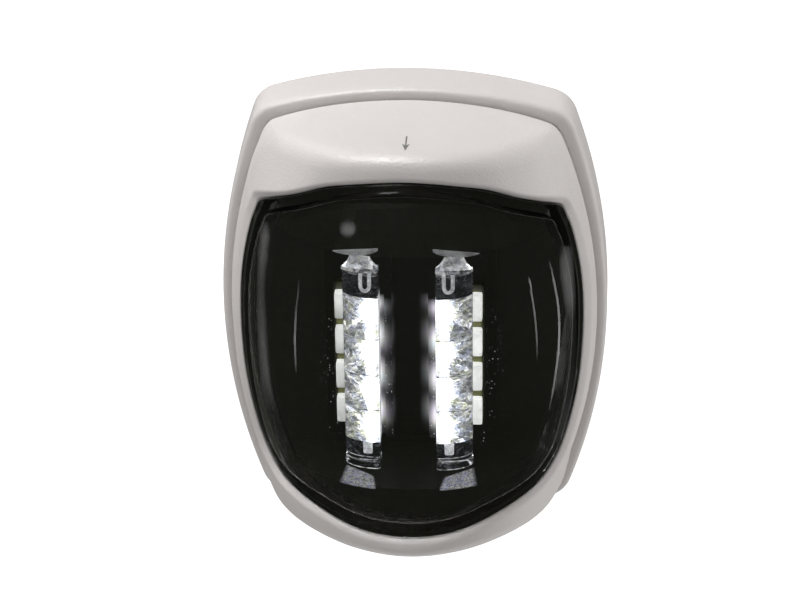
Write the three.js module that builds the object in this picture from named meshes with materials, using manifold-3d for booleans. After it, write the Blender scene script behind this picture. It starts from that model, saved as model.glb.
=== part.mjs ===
// Compact LED navigation light: a tray-shaped mounting base that is fixed to a cabin side or a bulkhead,
// and a sealed light unit that plugs into the tray and pulls straight off it.
// Millimetres, +Z up, the light faces -Y and the wall plane is Y = 0.
import * as THREE from 'three';
import { mergeVertices } from 'three/addons/utils/BufferGeometryUtils.js';
import ManifoldModule from 'manifold-3d';

const wasm = await ManifoldModule();
wasm.setup();

// ---------------------------------------------------------------- driving dimensions
// front-view outline of the base: two long side arcs and a shallow top and bottom arch
const HALF_WIDTH = 32.5;        // at mid height
const CORNER_HALF_WIDTH = 25.8;
const CORNER_HEIGHT = 37.0;
const ARCH_HEIGHT = 41.2;
const CORNER_RADIUS = 5.5;

const BASE_FRONT = 8.5;         // how far the tray's lip stands off the wall
const BASE_FLOOR = 2.6;
const BASE_WALL = 2.6;
const LIP_RADIUS = 1.8;
const TRAY_GAP = 0.4;           // between tray wall and skirt

const UNIT_BACK = 3.2;          // rear edge of the light unit's skirt
const SKIRT_INSET = BASE_WALL + TRAY_GAP;
const SKIRT_WALL = 2.2;
const OVERHANG_BACK = 9.1;      // where the body swells out over the lip

const AXIS_F = 8.0;             // front-to-back position of the barrel's widest section
const BARREL_POWER = 2.1;       // roundness of the plan section
const RIM_PROUD = 0.8;          // rim above the lens surface
const LIP_THICK = 2.4;
const LENS_GAP = 0.3;
const LENS_WALL = 2.0;

// front surface of the lens at the centreline: [height, distance from the wall]
const LENS_PROFILE = [[-40, 30.4], [-32, 32.2], [-28, 32.9], [-20, 33.7], [-10, 33.9], [0, 33.7], [10, 33.1], [20, 31.9], [28, 29.9], [33.2, 27.8], [40, 23.6]];
// rim of the lens opening: [station, sideways fraction of the barrel's half width, height]
const RIM = [[0, 0, 34.64], [0.11, 0.4973, 32.96], [0.19, 0.77, 29.43], [0.25, 0.9444, 25.87], [0.29, 0.9714, 22.33], [0.33, 0.9784, 19],
  [0.42, 0.9801, 10], [0.5, 0.9728, 0], [0.6, 0.9638, -12], [0.68, 0.9473, -21.55], [0.73, 0.912, -24.9],
  [0.765, 0.872, -26.3], [0.8, 0.815, -27.1], [0.86, 0.6477, -28.5], [0.93, 0.3424, -31], [1, 0, -31.74]];
// edge between the body's walls and its front: [station, x, forward, z]
const EDGE = [[0, 0, 26.8, 38.3], [0.11, 12.2, 24.8, 37.6], [0.19, 20, 18.2, 36.2], [0.235, 23.4, 13, 34.7], [0.27, 25.4, 11.9, 31.6], [0.31, 27.3, 11.3, 26.6]];
// inset of the body's overhang: [station, inset] and, on the sides, [height, inset]
const SWELL = [[0, 1.65], [0.12, 1.75], [0.2, 2.0], [0.26, 2.4], [0.32, 2.1], [0.42, 1.75], [0.5, 1.65]];
const SWELL_Z = [[0, 1.65], [10, 1.75], [20, 2.15], [30, 2.7], [38, 2.75]];
// width of the rim's inward bevel: [station, width]
const BEVEL = [[0, 0.35], [0.19, 0.4], [0.26, 0.9], [0.32, 1.3], [0.62, 1.3], [0.74, 0.9], [0.82, 0.6], [1, 0.5]];
const EDGE_LOW = [[0.71, 26.53, 11.6, -28.65], [0.74, 25.42, 13.4, -31.87], [0.8, 22.3, 19.8, -33.8], [0.86, 16.97, 26.4, -34.1], [0.93, 8.77, 31.5, -34.73], [1, 0, 33.6, -34.75]];

const SCREW_X = 18.4, SCREW_Z = 29.2;     // rear cover screws
const GLAND_Z = -14.0;
const GLAND_BORE = 6.2;
const WALL_HOLE_X = 14.0, WALL_HOLE_Z = 25.0, WALL_HOLE_D = 3.6;

const COVER_BACK = 3.4, COVER_FRONT = 5.8;
const BOARD_BACK = 9.4, BOARD_FRONT = 10.8;
const SHROUD_BACK = 14.2, SHROUD_WALL = 1.4;
const SHROUD_INSET = 3.2;
const SHELF_TOP = 20.9, SHELF_LOW = -21.8;
const COLUMN_X = 7.55;          // centre of each optic bar
const LED_X = 9.6;              // centre of each LED row
const LED_Z = [8.9, 2.3, -4.3, -10.9];
const LED_SIZE = 5.1;
const BAR_HALF = 2.95, BAR_BACK = 23.6, BAR_FRONT = 27.4, BAR_SHOULDER = 24.5;


// ---------------------------------------------------------------- small helpers
const lerp = (a, b, t) => a + (b - a) * t;
const mix = (a, b, t) => [lerp(a[0], b[0], t), lerp(a[1], b[1], t), lerp(a[2], b[2], t)];
const add = (a, b, s = 1) => [a[0] + b[0] * s, a[1] + b[1] * s, a[2] + b[2] * s];
const sub = (a, b) => [a[0] - b[0], a[1] - b[1], a[2] - b[2]];
const cross = (a, b) => [a[1] * b[2] - a[2] * b[1], a[2] * b[0] - a[0] * b[2], a[0] * b[1] - a[1] * b[0]];
const dot = (a, b) => a[0] * b[0] + a[1] * b[1] + a[2] * b[2];
const len = a => Math.hypot(a[0], a[1], a[2]);
const unit = a => { const l = len(a) || 1; return [a[0] / l, a[1] / l, a[2] / l]; };
// design points are [x, forward, z]; forward is -Y
const world = p => new THREE.Vector3(p[0], -p[1], p[2]);

// smooth curve through [t, value] pairs
function curve(pts, t) {
  const n = pts.length;
  let i = 0;
  while (i < n - 2 && t > pts[i + 1][0]) i++;
  const h = pts[i + 1][0] - pts[i][0];
  const s = Math.min(1, Math.max(0, (t - pts[i][0]) / h));
  const slope = k => {
    if (k <= 0) return (pts[1][1] - pts[0][1]) / (pts[1][0] - pts[0][0]);
    if (k >= n - 1) return (pts[n - 1][1] - pts[n - 2][1]) / (pts[n - 1][0] - pts[n - 2][0]);
    return (pts[k + 1][1] - pts[k - 1][1]) / (pts[k + 1][0] - pts[k - 1][0]);
  };
  const m0 = slope(i) * h, m1 = slope(i + 1) * h, s2 = s * s, s3 = s2 * s;
  return (2 * s3 - 3 * s2 + 1) * pts[i][1] + (s3 - 2 * s2 + s) * m0 + (-2 * s3 + 3 * s2) * pts[i + 1][1] + (s3 - s2) * m1;
}
// the same, mirrored at both ends so that it crosses the centreline square on
function stationCurve(rows, col, t, odd) {
  const s = odd ? -1 : 1;
  const pts = [];
  if (rows[0][0] === 0) pts.push([-rows[1][0], s * rows[1][col]]);
  for (const r of rows) pts.push([r[0], r[col]]);
  const n = rows.length;
  if (rows[n - 1][0] === 1) pts.push([2 - rows[n - 2][0], s * rows[n - 2][col]]);
  return curve(pts, t);
}

// ---------------------------------------------------------------- barrel outline
const SIDE_C = (CORNER_HALF_WIDTH ** 2 + CORNER_HEIGHT ** 2 - HALF_WIDTH ** 2) / (2 * (HALF_WIDTH - CORNER_HALF_WIDTH));
const SIDE_R = HALF_WIDTH + SIDE_C;
const ARCH_C = (CORNER_HALF_WIDTH ** 2 + CORNER_HEIGHT ** 2 - ARCH_HEIGHT ** 2) / (2 * (ARCH_HEIGHT - CORNER_HEIGHT));
const ARCH_R = ARCH_HEIGHT + ARCH_C;
const sideAt = (z, d) => -SIDE_C + Math.sqrt((SIDE_R - d) ** 2 - z * z);

// point on the outline inset by d; station 0 is top centre, 0.5 the right side, 1 bottom centre
function outline(d, station) {
  const low = station > 0.5;
  const t = low ? 1 - station : station;
  const rf = Math.max(CORNER_RADIUS - d, 1.0);
  const rs = SIDE_R - d, rt = ARCH_R - d;
  const r1 = rs - rf, r2 = rt - rf;
  const dx = SIDE_C, dz = -ARCH_C, dd = Math.hypot(dx, dz);
  const q = (r1 * r1 - r2 * r2 + dd * dd) / (2 * dd);
  const h = Math.sqrt(r1 * r1 - q * q);
  let cx = -SIDE_C + q * dx / dd - h * dz / dd, cz = q * dz / dd + h * dx / dd;
  if (cx < 0 || cz < 0) { cx = -SIDE_C + q * dx / dd + h * dz / dd; cz = q * dz / dd - h * dx / dd; }
  const a1 = Math.atan2(cz, cx + SIDE_C), a2 = Math.atan2(cz + ARCH_C, cx);
  let x, z;
  if (t <= 0.22) { const a = lerp(Math.PI / 2, a2, t / 0.22); x = rt * Math.cos(a); z = -ARCH_C + rt * Math.sin(a); }
  else if (t <= 0.28) { const a = lerp(a2, a1, (t - 0.22) / 0.06); x = cx + rf * Math.cos(a); z = cz + rf * Math.sin(a); }
  else { const a = lerp(a1, 0, (t - 0.28) / 0.22); x = -SIDE_C + rs * Math.cos(a); z = rs * Math.sin(a); }
  return [x, low ? -z : z];
}
// stations crowd at the corners so that the fillets stay round
const STATIONS = (() => {
  const half = [];
  const runs = [[0, 0.22, 6], [0.22, 0.28, 2], [0.28, 0.5, 5]];
  for (const [a, b, k] of runs) for (let i = 0; i < k; i++) half.push(lerp(a, b, i / k));
  const q = [...half, 0.5];
  const low = half.slice().reverse().map(s => 1 - s);
  return [...q, ...low];             // 0 .. 1, right half
})();
function ring(fn) {
  const right = STATIONS.map(s => fn(s));
  const left = STATIONS.slice(1, -1).reverse().map(s => { const p = fn(s); return [-p[0], p[1], p[2]]; });
  return [...right, ...left];
}
const flatRing = (d, f) => ring(s => { const [x, z] = outline(d, s); return [x, f, z]; });

// ---------------------------------------------------------------- solids from rings of points
function geometryFrom(points, tris) {
  const pos = new Float32Array(points.length * 3);
  points.forEach((p, i) => { const v = world(p); pos[3 * i] = v.x; pos[3 * i + 1] = v.y; pos[3 * i + 2] = v.z; });
  const g = new THREE.BufferGeometry();
  g.setAttribute('position', new THREE.BufferAttribute(pos, 3));
  let idx = tris.flat();
  let vol = 0;
  for (let i = 0; i < idx.length; i += 3) {
    const [a, b, c] = [idx[i], idx[i + 1], idx[i + 2]].map(k => [pos[3 * k], pos[3 * k + 1], pos[3 * k + 2]]);
    vol += dot(a, cross(b, c));
  }
  if (vol < 0) { const r = []; for (let i = 0; i < idx.length; i += 3) r.push(idx[i], idx[i + 2], idx[i + 1]); idx = r; }
  g.setIndex(idx);
  return g;
}
function bridge(tris, a, b, n) {
  for (let i = 0; i < n; i++) {
    const j = (i + 1) % n;
    tris.push([a + i, b + i, b + j], [a + i, b + j, a + j]);
  }
}
// rings joined end to end: the last one meets the first one
function hoop(rings) {
  const n = rings[0].length, pts = rings.flat(), tris = [];
  for (let k = 0; k < rings.length; k++) bridge(tris, k * n, ((k + 1) % rings.length) * n, n);
  return geometryFrom(pts, tris);
}
// rings joined in a row and closed by a fan at each end
function capped(rings, startPole, endPole) {
  const n = rings[0].length, pts = rings.flat(), tris = [];
  for (let k = 0; k + 1 < rings.length; k++) bridge(tris, k * n, (k + 1) * n, n);
  const mean = r => r.reduce((s, p) => add(s, p, 1 / r.length), [0, 0, 0]);
  const a = pts.length; pts.push(startPole || mean(rings[0]));
  const b = pts.length; pts.push(endPole || mean(rings[rings.length - 1]));
  for (let i = 0; i < n; i++) {
    const j = (i + 1) % n, e = (rings.length - 1) * n;
    tris.push([a, i, j]);
    tris.push([b, e + j, e + i]);
  }
  return geometryFrom(pts, tris);
}

// ---------------------------------------------------------------- join and cut
function solid(geometry) {
  const g = geometry.index ? geometry.clone() : geometry.clone();
  g.deleteAttribute('normal'); g.deleteAttribute('uv');
  const m = mergeVertices(g, 1e-4);
  return new wasm.Manifold(new wasm.Mesh({ numProp: 3, vertProperties: new Float32Array(m.attributes.position.array), triVerts: new Uint32Array(m.index.array) }));
}
function fromSolid(s) {
  const m = s.getMesh();
  const g = new THREE.BufferGeometry();
  const v = new Float32Array(m.numVert * 3);
  for (let i = 0; i < m.numVert; i++) for (let k = 0; k < 3; k++) v[3 * i + k] = m.vertProperties[i * m.numProp + k];
  g.setAttribute('position', new THREE.BufferAttribute(v, 3));
  g.setIndex(Array.from(m.triVerts));
  return g;
}
const join = (...list) => list.reduce((a, b) => a.add(b));
const cut = (a, ...list) => list.reduce((s, b) => s.subtract(b), a);

// outline in the wall plane [[x, z], ...] pushed forward from f0 to f1
function slab(points, f0, f1, holes = []) {
  const s = new THREE.Shape(points.map(p => new THREE.Vector2(p[0], p[1])));
  for (const h of holes) s.holes.push(new THREE.Path(h.map(p => new THREE.Vector2(p[0], p[1]))));
  const g = new THREE.ExtrudeGeometry(s, { depth: f1 - f0, bevelEnabled: false, steps: 1 });
  g.rotateX(Math.PI / 2);
  g.translate(0, -f0, 0);
  return g;
}
// plan outline [[x, forward], ...] raised from z0 to z1
function post(points, z0, z1) {
  const s = new THREE.Shape(points.map(p => new THREE.Vector2(p[0], -p[1])));
  const g = new THREE.ExtrudeGeometry(s, { depth: z1 - z0, bevelEnabled: false, steps: 1 });
  g.translate(0, 0, z0);
  return g;
}
function brick(x0, x1, f0, f1, z0, z1) {
  const g = new THREE.BoxGeometry(x1 - x0, f1 - f0, z1 - z0);
  g.translate((x0 + x1) / 2, -(f0 + f1) / 2, (z0 + z1) / 2);
  return g;
}
// cylinder or cone standing off the wall
function rod(x, z, f0, f1, d0, d1 = d0, seg = 20) {
  const g = new THREE.CylinderGeometry(d1 / 2, d0 / 2, f1 - f0, seg);
  g.rotateX(Math.PI);                      // the cylinder's top turns to -Y
  g.translate(x, -(f0 + f1) / 2, z);
  return g;
}
// profile [[radius, forward], ...] turned about a line that stands off the wall
function turned(profile, x, z, seg = 24) {
  const g = new THREE.LatheGeometry(profile.map(p => new THREE.Vector2(p[0], p[1])), seg);
  const idx = g.index.array, pos = g.attributes.position;
  g.rotateX(Math.PI);
  g.translate(x, 0, z);
  let vol = 0;
  for (let i = 0; i < idx.length; i += 3) {
    const [a, b, c] = [idx[i], idx[i + 1], idx[i + 2]].map(k => [pos.getX(k), pos.getY(k), pos.getZ(k)]);
    vol += dot(a, cross(b, c));
  }
  if (vol < 0) { const r = []; for (let i = 0; i < idx.length; i += 3) r.push(idx[i], idx[i + 2], idx[i + 1]); g.setIndex(r); }
  return g;
}
const roundedRect = (w, h, r, k = 4, cx = 0, cz = 0) => {
  const p = [];
  for (const [sx, sz, a0] of [[1, 1, 0], [-1, 1, 90], [-1, -1, 180], [1, -1, 270]])
    for (let i = 0; i <= k; i++) {
      const a = (a0 + 90 * i / k) * Math.PI / 180;
      p.push([cx + sx * (w / 2 - r) + r * Math.cos(a), cz + sz * (h / 2 - r) + r * Math.sin(a)]);
    }
  return p;
};

// ---------------------------------------------------------------- barrel surface
// the body is a barrel standing on end: each level is a rounded D in plan
const swell = z => curve(SWELL_Z, Math.min(38, Math.abs(z)));
const bevel = s => curve(BEVEL, s);
const halfWidth = (z, off) => sideAt(z, swell(z)) - RIM_PROUD - off;
const frontAt = (z, off) => curve(LENS_PROFILE, z) - off;
function barrelPoint(frac, z, off = 0) {          // off 0 is the lens surface
  const sgn = Math.sign(frac), a = Math.min(1, Math.abs(frac));
  const w = halfWidth(z, off), f0 = frontAt(z, off);
  return [sgn * a * w, AXIS_F + (f0 - AXIS_F) * Math.pow(Math.max(0, 1 - Math.pow(a, BARREL_POWER)), 1 / BARREL_POWER), z];
}
// even spacing round the D: angle 0 faces forward, 90 degrees is the side
const fracOf = phi => Math.sign(phi) * Math.pow(Math.sin(Math.abs(phi)), 2 / BARREL_POWER);
const phiOf = frac => Math.sign(frac) * Math.asin(Math.pow(Math.min(1, Math.abs(frac)), BARREL_POWER / 2));
function barrelNormal(p) {
  const G = q => Math.pow(Math.abs(q[0]) / halfWidth(q[2], -RIM_PROUD), BARREL_POWER) + Math.pow(Math.max(0, q[1] - AXIS_F) / (frontAt(q[2], -RIM_PROUD) - AXIS_F), BARREL_POWER);
  const e = 0.02;
  return unit([0, 1, 2].map(k => { const a = p.slice(), b = p.slice(); a[k] += e; b[k] -= e; return (G(a) - G(b)) / (2 * e); }));
}
const rimPoint = s => barrelPoint(stationCurve(RIM, 1, s, true), stationCurve(RIM, 2, s, false), -RIM_PROUD);
function rimFrame(s) {
  const p = rimPoint(s), e = 0.004;
  const a = s - e < 0 ? (q => [-q[0], q[1], q[2]])(rimPoint(e - s)) : rimPoint(s - e);
  const b = s + e > 1 ? (q => [-q[0], q[1], q[2]])(rimPoint(2 - s - e)) : rimPoint(s + e);
  const n = barrelNormal(p);
  const inward = unit(cross(unit(sub(b, a)), n));    // along the surface, towards the middle of the opening
  const c = dot(inward, sub([0, 30, 0], p)) > 0 ? 1 : -1;
  return { p, n, t: inward.map(v => v * c) };
}
const rimAt = (s, along, depth) => { const { p, n, t } = rimFrame(s); return add(add(p, t, along), n, -depth); };

// edge between walls and front
function swellPoint(s) {
  const [x, z] = outline(curve(SWELL, Math.min(s, 1 - s)), s);
  return [x, OVERHANG_BACK, z];
}
function edgePoint(s) {
  const side = mix(swellPoint(s), rimPoint(s), 0.5);
  const pick = rows => [1, 2, 3].map(c => stationCurve(rows, c, s, c === 1));
  if (s <= 0.31) return pick([...EDGE, [0.36, ...mix(swellPoint(0.36), rimPoint(0.36), 0.5)]]);
  if (s < 0.36) return pick([...EDGE, [0.36, ...mix(swellPoint(0.36), rimPoint(0.36), 0.5)], [0.42, ...mix(swellPoint(0.42), rimPoint(0.42), 0.5)]]);
  if (s > 0.66) return pick([[0.6, ...mix(swellPoint(0.6), rimPoint(0.6), 0.5)], [0.66, ...mix(swellPoint(0.66), rimPoint(0.66), 0.5)], ...EDGE_LOW]);
  return side;
}
function wallNormal(s) {
  const e = 0.003, a = outline(SKIRT_INSET, Math.max(0, s - e)), b = outline(SKIRT_INSET, Math.min(1, s + e));
  const t = unit([b[0] - a[0], 0, b[1] - a[1]]);
  let n = [-t[2], 0, t[0]];
  const [x, z] = outline(SKIRT_INSET, s);
  if (n[0] * x + n[2] * z < 0) n = n.map(v => -v);
  return n;
}

// ================================================================ mounting base
const baseShell = solid(capped([
  flatRing(0.5, 0), flatRing(0, 0.5), flatRing(0, BASE_FRONT - LIP_RADIUS),
  flatRing(LIP_RADIUS * 0.18, BASE_FRONT - LIP_RADIUS * 0.42), flatRing(LIP_RADIUS * 0.55, BASE_FRONT - LIP_RADIUS * 0.1),
  flatRing(LIP_RADIUS, BASE_FRONT), flatRing(BASE_WALL - 0.3, BASE_FRONT), flatRing(BASE_WALL, BASE_FRONT - 0.3),
  flatRing(BASE_WALL, BASE_FLOOR)], [0, 0, 0], [0, BASE_FLOOR, 0]));
const gasketGroove = solid(hoop([flatRing(3.0, -0.5), flatRing(3.0, 1.5), flatRing(7.2, 1.5), flatRing(7.2, -0.5)]));
let base = cut(baseShell, gasketGroove, solid(rod(0, GLAND_Z, -1, 4, 14.6, 14.6, 32)));
for (const sx of [-1, 1]) for (const sz of [-1, 1]) {
  base = cut(base, solid(rod(sx * WALL_HOLE_X, sz * WALL_HOLE_Z, -1, 4, WALL_HOLE_D, WALL_HOLE_D, 16)),
    solid(rod(sx * WALL_HOLE_X, sz * WALL_HOLE_Z, 0.9, 2.7, 3.4, 7.2, 16)));
}
// stiffening ring round the cable hole and two keys that stop the light unit going in upside down
base = join(base, cut(solid(rod(0, GLAND_Z, 2.4, 3.0, 17.4, 17.0, 32)), solid(rod(0, GLAND_Z, 2, 4, 14.6, 14.6, 32))));
const mountingBase = fromSolid(base);
const wallGasket = hoop([flatRing(3.3, 0), flatRing(3.3, 1.2), flatRing(6.9, 1.2), flatRing(6.9, 0)]);

// ================================================================ light unit housing
const fillet = (s, t) => {          // rounded corner between wall and front
  const c = swellPoint(s), m = edgePoint(s), r = rimPoint(s);
  const la = len(sub(c, m)), lb = len(sub(r, m));
  const a = add(m, sub(c, m), Math.min(0.9, 3.6 / la)), b = add(m, sub(r, m), Math.min(0.8, 2.8 / lb));
  return add(add([0, 0, 0], mix(a, m, t), 1 - t), mix(m, b, t), t);
};
const innerEdge = s => {            // the same edge inside the wall
  const nw = wallNormal(s), nf = rimFrame(s).n;
  return add(edgePoint(s), add(nw, nf), -LIP_THICK / (1 + dot(nw, nf)));
};
const housingShell = solid(hoop([
  flatRing(SKIRT_INSET, UNIT_BACK),
  flatRing(SKIRT_INSET, 5.1), flatRing(SKIRT_INSET + 1.0, 5.1), flatRing(SKIRT_INSET + 1.0, 6.7), flatRing(SKIRT_INSET, 6.7),
  flatRing(SKIRT_INSET, BASE_FRONT + 0.3),
  ring(swellPoint),
  ring(s => mix(swellPoint(s), fillet(s, 0), 0.5)),
  ring(s => fillet(s, 0)), ring(s => fillet(s, 0.33)), ring(s => fillet(s, 0.67)), ring(s => fillet(s, 1)),
  ring(s => rimAt(s, -0.45, 0.02)), ring(s => rimAt(s, 0.0, 0.18)),
  ring(s => rimAt(s, bevel(s), 0.95)), ring(s => rimAt(s, bevel(s), LIP_THICK)), ring(s => rimAt(s, -0.8, LIP_THICK + 0.1)),
  ring(innerEdge),
  ring(s => { const [x, z] = outline(SKIRT_INSET + SKIRT_WALL, s); return [x, OVERHANG_BACK, z]; }),
  flatRing(SKIRT_INSET + SKIRT_WALL, UNIT_BACK)]));
let housingSolid = housingShell;
for (const sx of [-1, 1]) for (const sz of [-1, 1]) {
  // screw post in the corner with two short webs to the walls
  const x = sx * SCREW_X, z = sz * SCREW_Z;
  const boss = join(solid(rod(x, z, 6.1, 10.6, 5.6, 5.2, 16)),
    solid(brick(Math.min(x, sx * 23.4), Math.max(x, sx * 23.4), 6.1, 10.2, z - 1.2, z + 1.2)),
    solid(brick(x - 1.2, x + 1.2, 6.1, 10.2, Math.min(z, sz * 33.85), Math.max(z, sz * 33.85))));
  housingSolid = join(housingSolid, boss);
  housingSolid = cut(housingSolid, solid(rod(x, z, 5.8, 9.6, 2.6, 2.6, 12)));
}
const housing = fromSolid(housingSolid);

const skirtSeal = hoop([flatRing(2.78, 5.6), flatRing(2.78, 6.2), flatRing(3.7, 6.4), flatRing(3.7, 5.4)]);

// ================================================================ lens
const LENS_MID = 0;
const edgeAlong = s => bevel(s) + LENS_GAP;
// residual between the seat and the ideal barrel fades out towards the middle
function lensRing(scale, off) {
  return ring(s => {
    const seat = rimAt(s, edgeAlong(s), RIM_PROUD + 0.15);
    const w = halfWidth(seat[2], 0);
    const phi = phiOf(Math.max(-1, Math.min(1, seat[0] / w)));
    const ideal = barrelPoint(fracOf(phi), seat[2], 0);
    const rest = sub(seat, ideal);
    const q = barrelPoint(fracOf(phi * scale), LENS_MID + (seat[2] - LENS_MID) * scale, off);
    return add(q, rest, scale ** 4);
  });
}
const LENS_SCALES = [0.92, 0.78, 0.62, 0.45, 0.28, 0.12];
const lensGeometry = capped([
  ...LENS_SCALES.slice().reverse().map(k => lensRing(k, 0)),
  ring(s => rimAt(s, edgeAlong(s), RIM_PROUD + 0.15)),
  ring(s => rimAt(s, edgeAlong(s), 3.6)), ring(s => rimAt(s, -0.5, 3.6)), ring(s => rimAt(s, -0.5, 4.8)),
  lensRing(0.93, 4.0), lensRing(0.92, LENS_WALL),
  ...LENS_SCALES.slice(1).map(k => lensRing(k, LENS_WALL))],
barrelPoint(0, LENS_MID, 0), barrelPoint(0, LENS_MID, LENS_WALL));

const lensSeal = hoop([ring(s => rimAt(s, -0.5, 2.7)), ring(s => rimAt(s, bevel(s) - 0.1, 2.7)), ring(s => rimAt(s, bevel(s) - 0.1, 3.3)), ring(s => rimAt(s, -0.5, 3.3))]);

// ================================================================ inner shroud
// D-shaped block inside the lens, from z0 to z1, with its flat back at f0
function dBlock(off, f0, z0, z1, levels = 10, seg = 22) {
  const rings = [];
  for (let k = 0; k <= levels; k++) {
    const z = lerp(z0, z1, k / levels);
    const reach = (f0 - AXIS_F) / (frontAt(z, off) - AXIS_F);
    const fmax = Math.pow(Math.max(0, 1 - Math.pow(reach, BARREL_POWER)), 1 / BARREL_POWER);
    const pm = phiOf(fmax);
    const r = [];
    for (let i = 0; i <= seg; i++) r.push(barrelPoint(fracOf(lerp(-pm, pm, i / seg)), z, off));
    rings.push(r);
  }
  return solid(capped(rings));
}
// room kept free all round the lens flange
const flangeRoom = solid(hoop([ring(s => rimAt(s, -4.5, 0.6)), ring(s => rimAt(s, 4.2, 0.6)), ring(s => rimAt(s, 4.2, 5.3)), ring(s => rimAt(s, -4.5, 5.6))]));
const shroudSolid = cut(dBlock(SHROUD_INSET, SHROUD_BACK, -30, 31),
  dBlock(SHROUD_INSET + SHROUD_WALL, SHROUD_BACK + SHROUD_WALL, SHELF_TOP + SHROUD_WALL, 33, 4),
  dBlock(SHROUD_INSET + SHROUD_WALL, SHROUD_BACK + SHROUD_WALL, -33, SHELF_LOW - SHROUD_WALL, 4),
  dBlock(SHROUD_INSET + SHROUD_WALL, SHROUD_BACK + SHROUD_WALL, SHELF_LOW, SHELF_TOP),
  solid(brick(-40, 40, 17.2, 50, SHELF_LOW, SHELF_TOP)),
  flangeRoom);
// the part inside the flange is the shroud, slivers outside it are dropped
const shroud = shroudSolid.decompose().reduce((a, b) => (b.volume() > a.volume() ? b : a));
const innerShroud = fromSolid(shroud);

// ================================================================ LED columns
const carrierPlan = [[-14.0, 15.9], [14.0, 15.9], [14.0, 17.0], [12.4, 17.4], [12.4, 20.5], [6.8, 20.5], [6.8, 18.4], [4.2, 18.4], [4.2, 19.6], [3.0, 19.6], [3.0, 17.6],
  [-3.0, 17.6], [-3.0, 19.6], [-4.2, 19.6], [-4.2, 18.4], [-6.8, 18.4], [-6.8, 20.5], [-12.4, 20.5], [-12.4, 17.4], [-14.0, 17.0]];
const ledCarrier = post(carrierPlan, -19.2, 17.6);

function ledBoard(side) {
  return slab(roundedRect(5.3, 26.8, 0.5, 3, side * LED_X, -0.8), 20.8, 21.9);
}
function led(side, z) {
  const h = LED_SIZE / 2, x = side * LED_X, c = 0.8;
  const body = solid(slab([[x - h, z - h], [x + h, z - h], [x + h, z + h - c], [x + h - c, z + h], [x - h, z + h]], 22.0, 23.3));
  return fromSolid(cut(body, solid(rod(x, z, 22.8, 23.6, 3.6, 4.3, 16))));
}
// clear bar: flat back, flat inner side, and a round front that falls away towards the outside;
// a neck and a cap at each end
function opticBar(side) {
  const mid = 25.1;
  const plan = [[-BAR_HALF, BAR_BACK], [-BAR_HALF, BAR_FRONT - 0.4], [-BAR_HALF + 0.4, BAR_FRONT]];
  for (let i = 1; i <= 9; i++) {
    const a = (Math.PI / 2) * (i / 9);
    plan.push([-BAR_HALF + 0.4 + (2 * BAR_HALF - 0.4) * Math.sin(a), BAR_SHOULDER + (BAR_FRONT - BAR_SHOULDER) * Math.cos(a)]);
  }
  plan.push([BAR_HALF, BAR_BACK]);
  const section = (z, sx, sf) => {
    const r = plan.map(([u, f]) => [side * (COLUMN_X + u * sx), lerp(mid, f, sf), z]);
    return side < 0 ? r.reverse() : r;
  };
  return capped([section(-21.2, 1, 1), section(-20.0, 1, 1), section(-19.7, 0.86, 0.86), section(-19.0, 0.86, 0.86), section(-18.7, 1, 1), section(15.7, 1, 1), section(16.9, 0.97, 0.97), section(17.6, 0.84, 0.86),
    section(18.0, 0.6, 0.7), section(18.8, 0.5, 0.62), section(19.8, 1.05, 0.84), section(20.5, 1.3, 0.92)]);
}

// ================================================================ driver board and its parts
const hole = (x, z, r, k = 12) => { const p = []; for (let i = 0; i < k; i++) p.push([x + r * Math.cos(i * 2 * Math.PI / k), z + r * Math.sin(i * 2 * Math.PI / k)]); return p; };
const driverBoard = slab([[-19, -22], [19, -22], [20, -21], [20, 21], [19, 22], [-19, 22], [-20, 21], [-20, -21]], BOARD_BACK, BOARD_FRONT, [hole(-16.5, 18, 1.3), hole(16.5, 18, 1.3)]);
const boardScrew = x => {
  const head = solid(turned([[0, 7.6], [1.0, 7.6], [1.0, 11.05], [1.9, 11.05], [1.9, 11.7], [1.4, 12.2], [0, 12.2]], x, 18, 16));
  return fromSolid(cut(head, solid(brick(x - 1.1, x + 1.1, 11.7, 13, 17.75, 18.25)), solid(brick(x - 0.25, x + 0.25, 11.7, 13, 16.9, 19.1))));
};
const chip = fromSolid(join(
  solid(slab(roundedRect(5.2, 4.6, 0.4, 2, -4, 4), 11.3, 12.7)),
  ...[-1.9, -0.65, 0.65, 1.9].flatMap(dx => [-1, 1].map(s => solid(brick(-4 + dx - 0.2, -4 + dx + 0.2, 11.05, 11.6, 4 + Math.min(s * 2, s * 3.3), 4 + Math.max(s * 2, s * 3.3)))))));
const inductor = fromSolid(join(solid(slab(roundedRect(7.4, 7.4, 1.6, 4, 6, 4.5), 11.1, 11.9)), solid(rod(6, 4.5, 11.7, 13.2, 5.6, 5.6, 24)), solid(rod(6, 4.5, 13.0, 13.7, 7.0, 6.6, 24))));
const capacitor = (x, z, d, h) => fromSolid(join(solid(slab([[x - d / 2 - 0.2, z - d / 2 - 0.2], [x + d / 2 + 0.2, z - d / 2 - 0.2], [x + d / 2 + 0.2, z + d / 2 - 0.8], [x + d / 2 - 0.8, z + d / 2 + 0.2], [x - d / 2 - 0.2, z + d / 2 + 0.2]], 11.1, 11.6)),
  solid(turned([[0, 11.4], [d / 2, 11.4], [d / 2, 11.9], [d / 2 - 0.25, 12.05], [d / 2, 12.2], [d / 2, h - 0.3], [d / 2 - 0.3, h], [0, h]], x, z, 24))));
const diode = fromSolid(join(solid(slab(roundedRect(4.4, 2.6, 0.3, 2, -12, -4), 11.3, 12.6)), solid(brick(-14.9, -9.1, 11.05, 11.6, -4.7, -3.3))));
const resistor = (x, z) => fromSolid(join(solid(brick(x - 1.6, x + 1.6, 11.1, 11.7, z - 0.8, z + 0.8)), solid(brick(x - 1.05, x + 1.05, 11.5, 11.8, z - 0.75, z + 0.75))));
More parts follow.
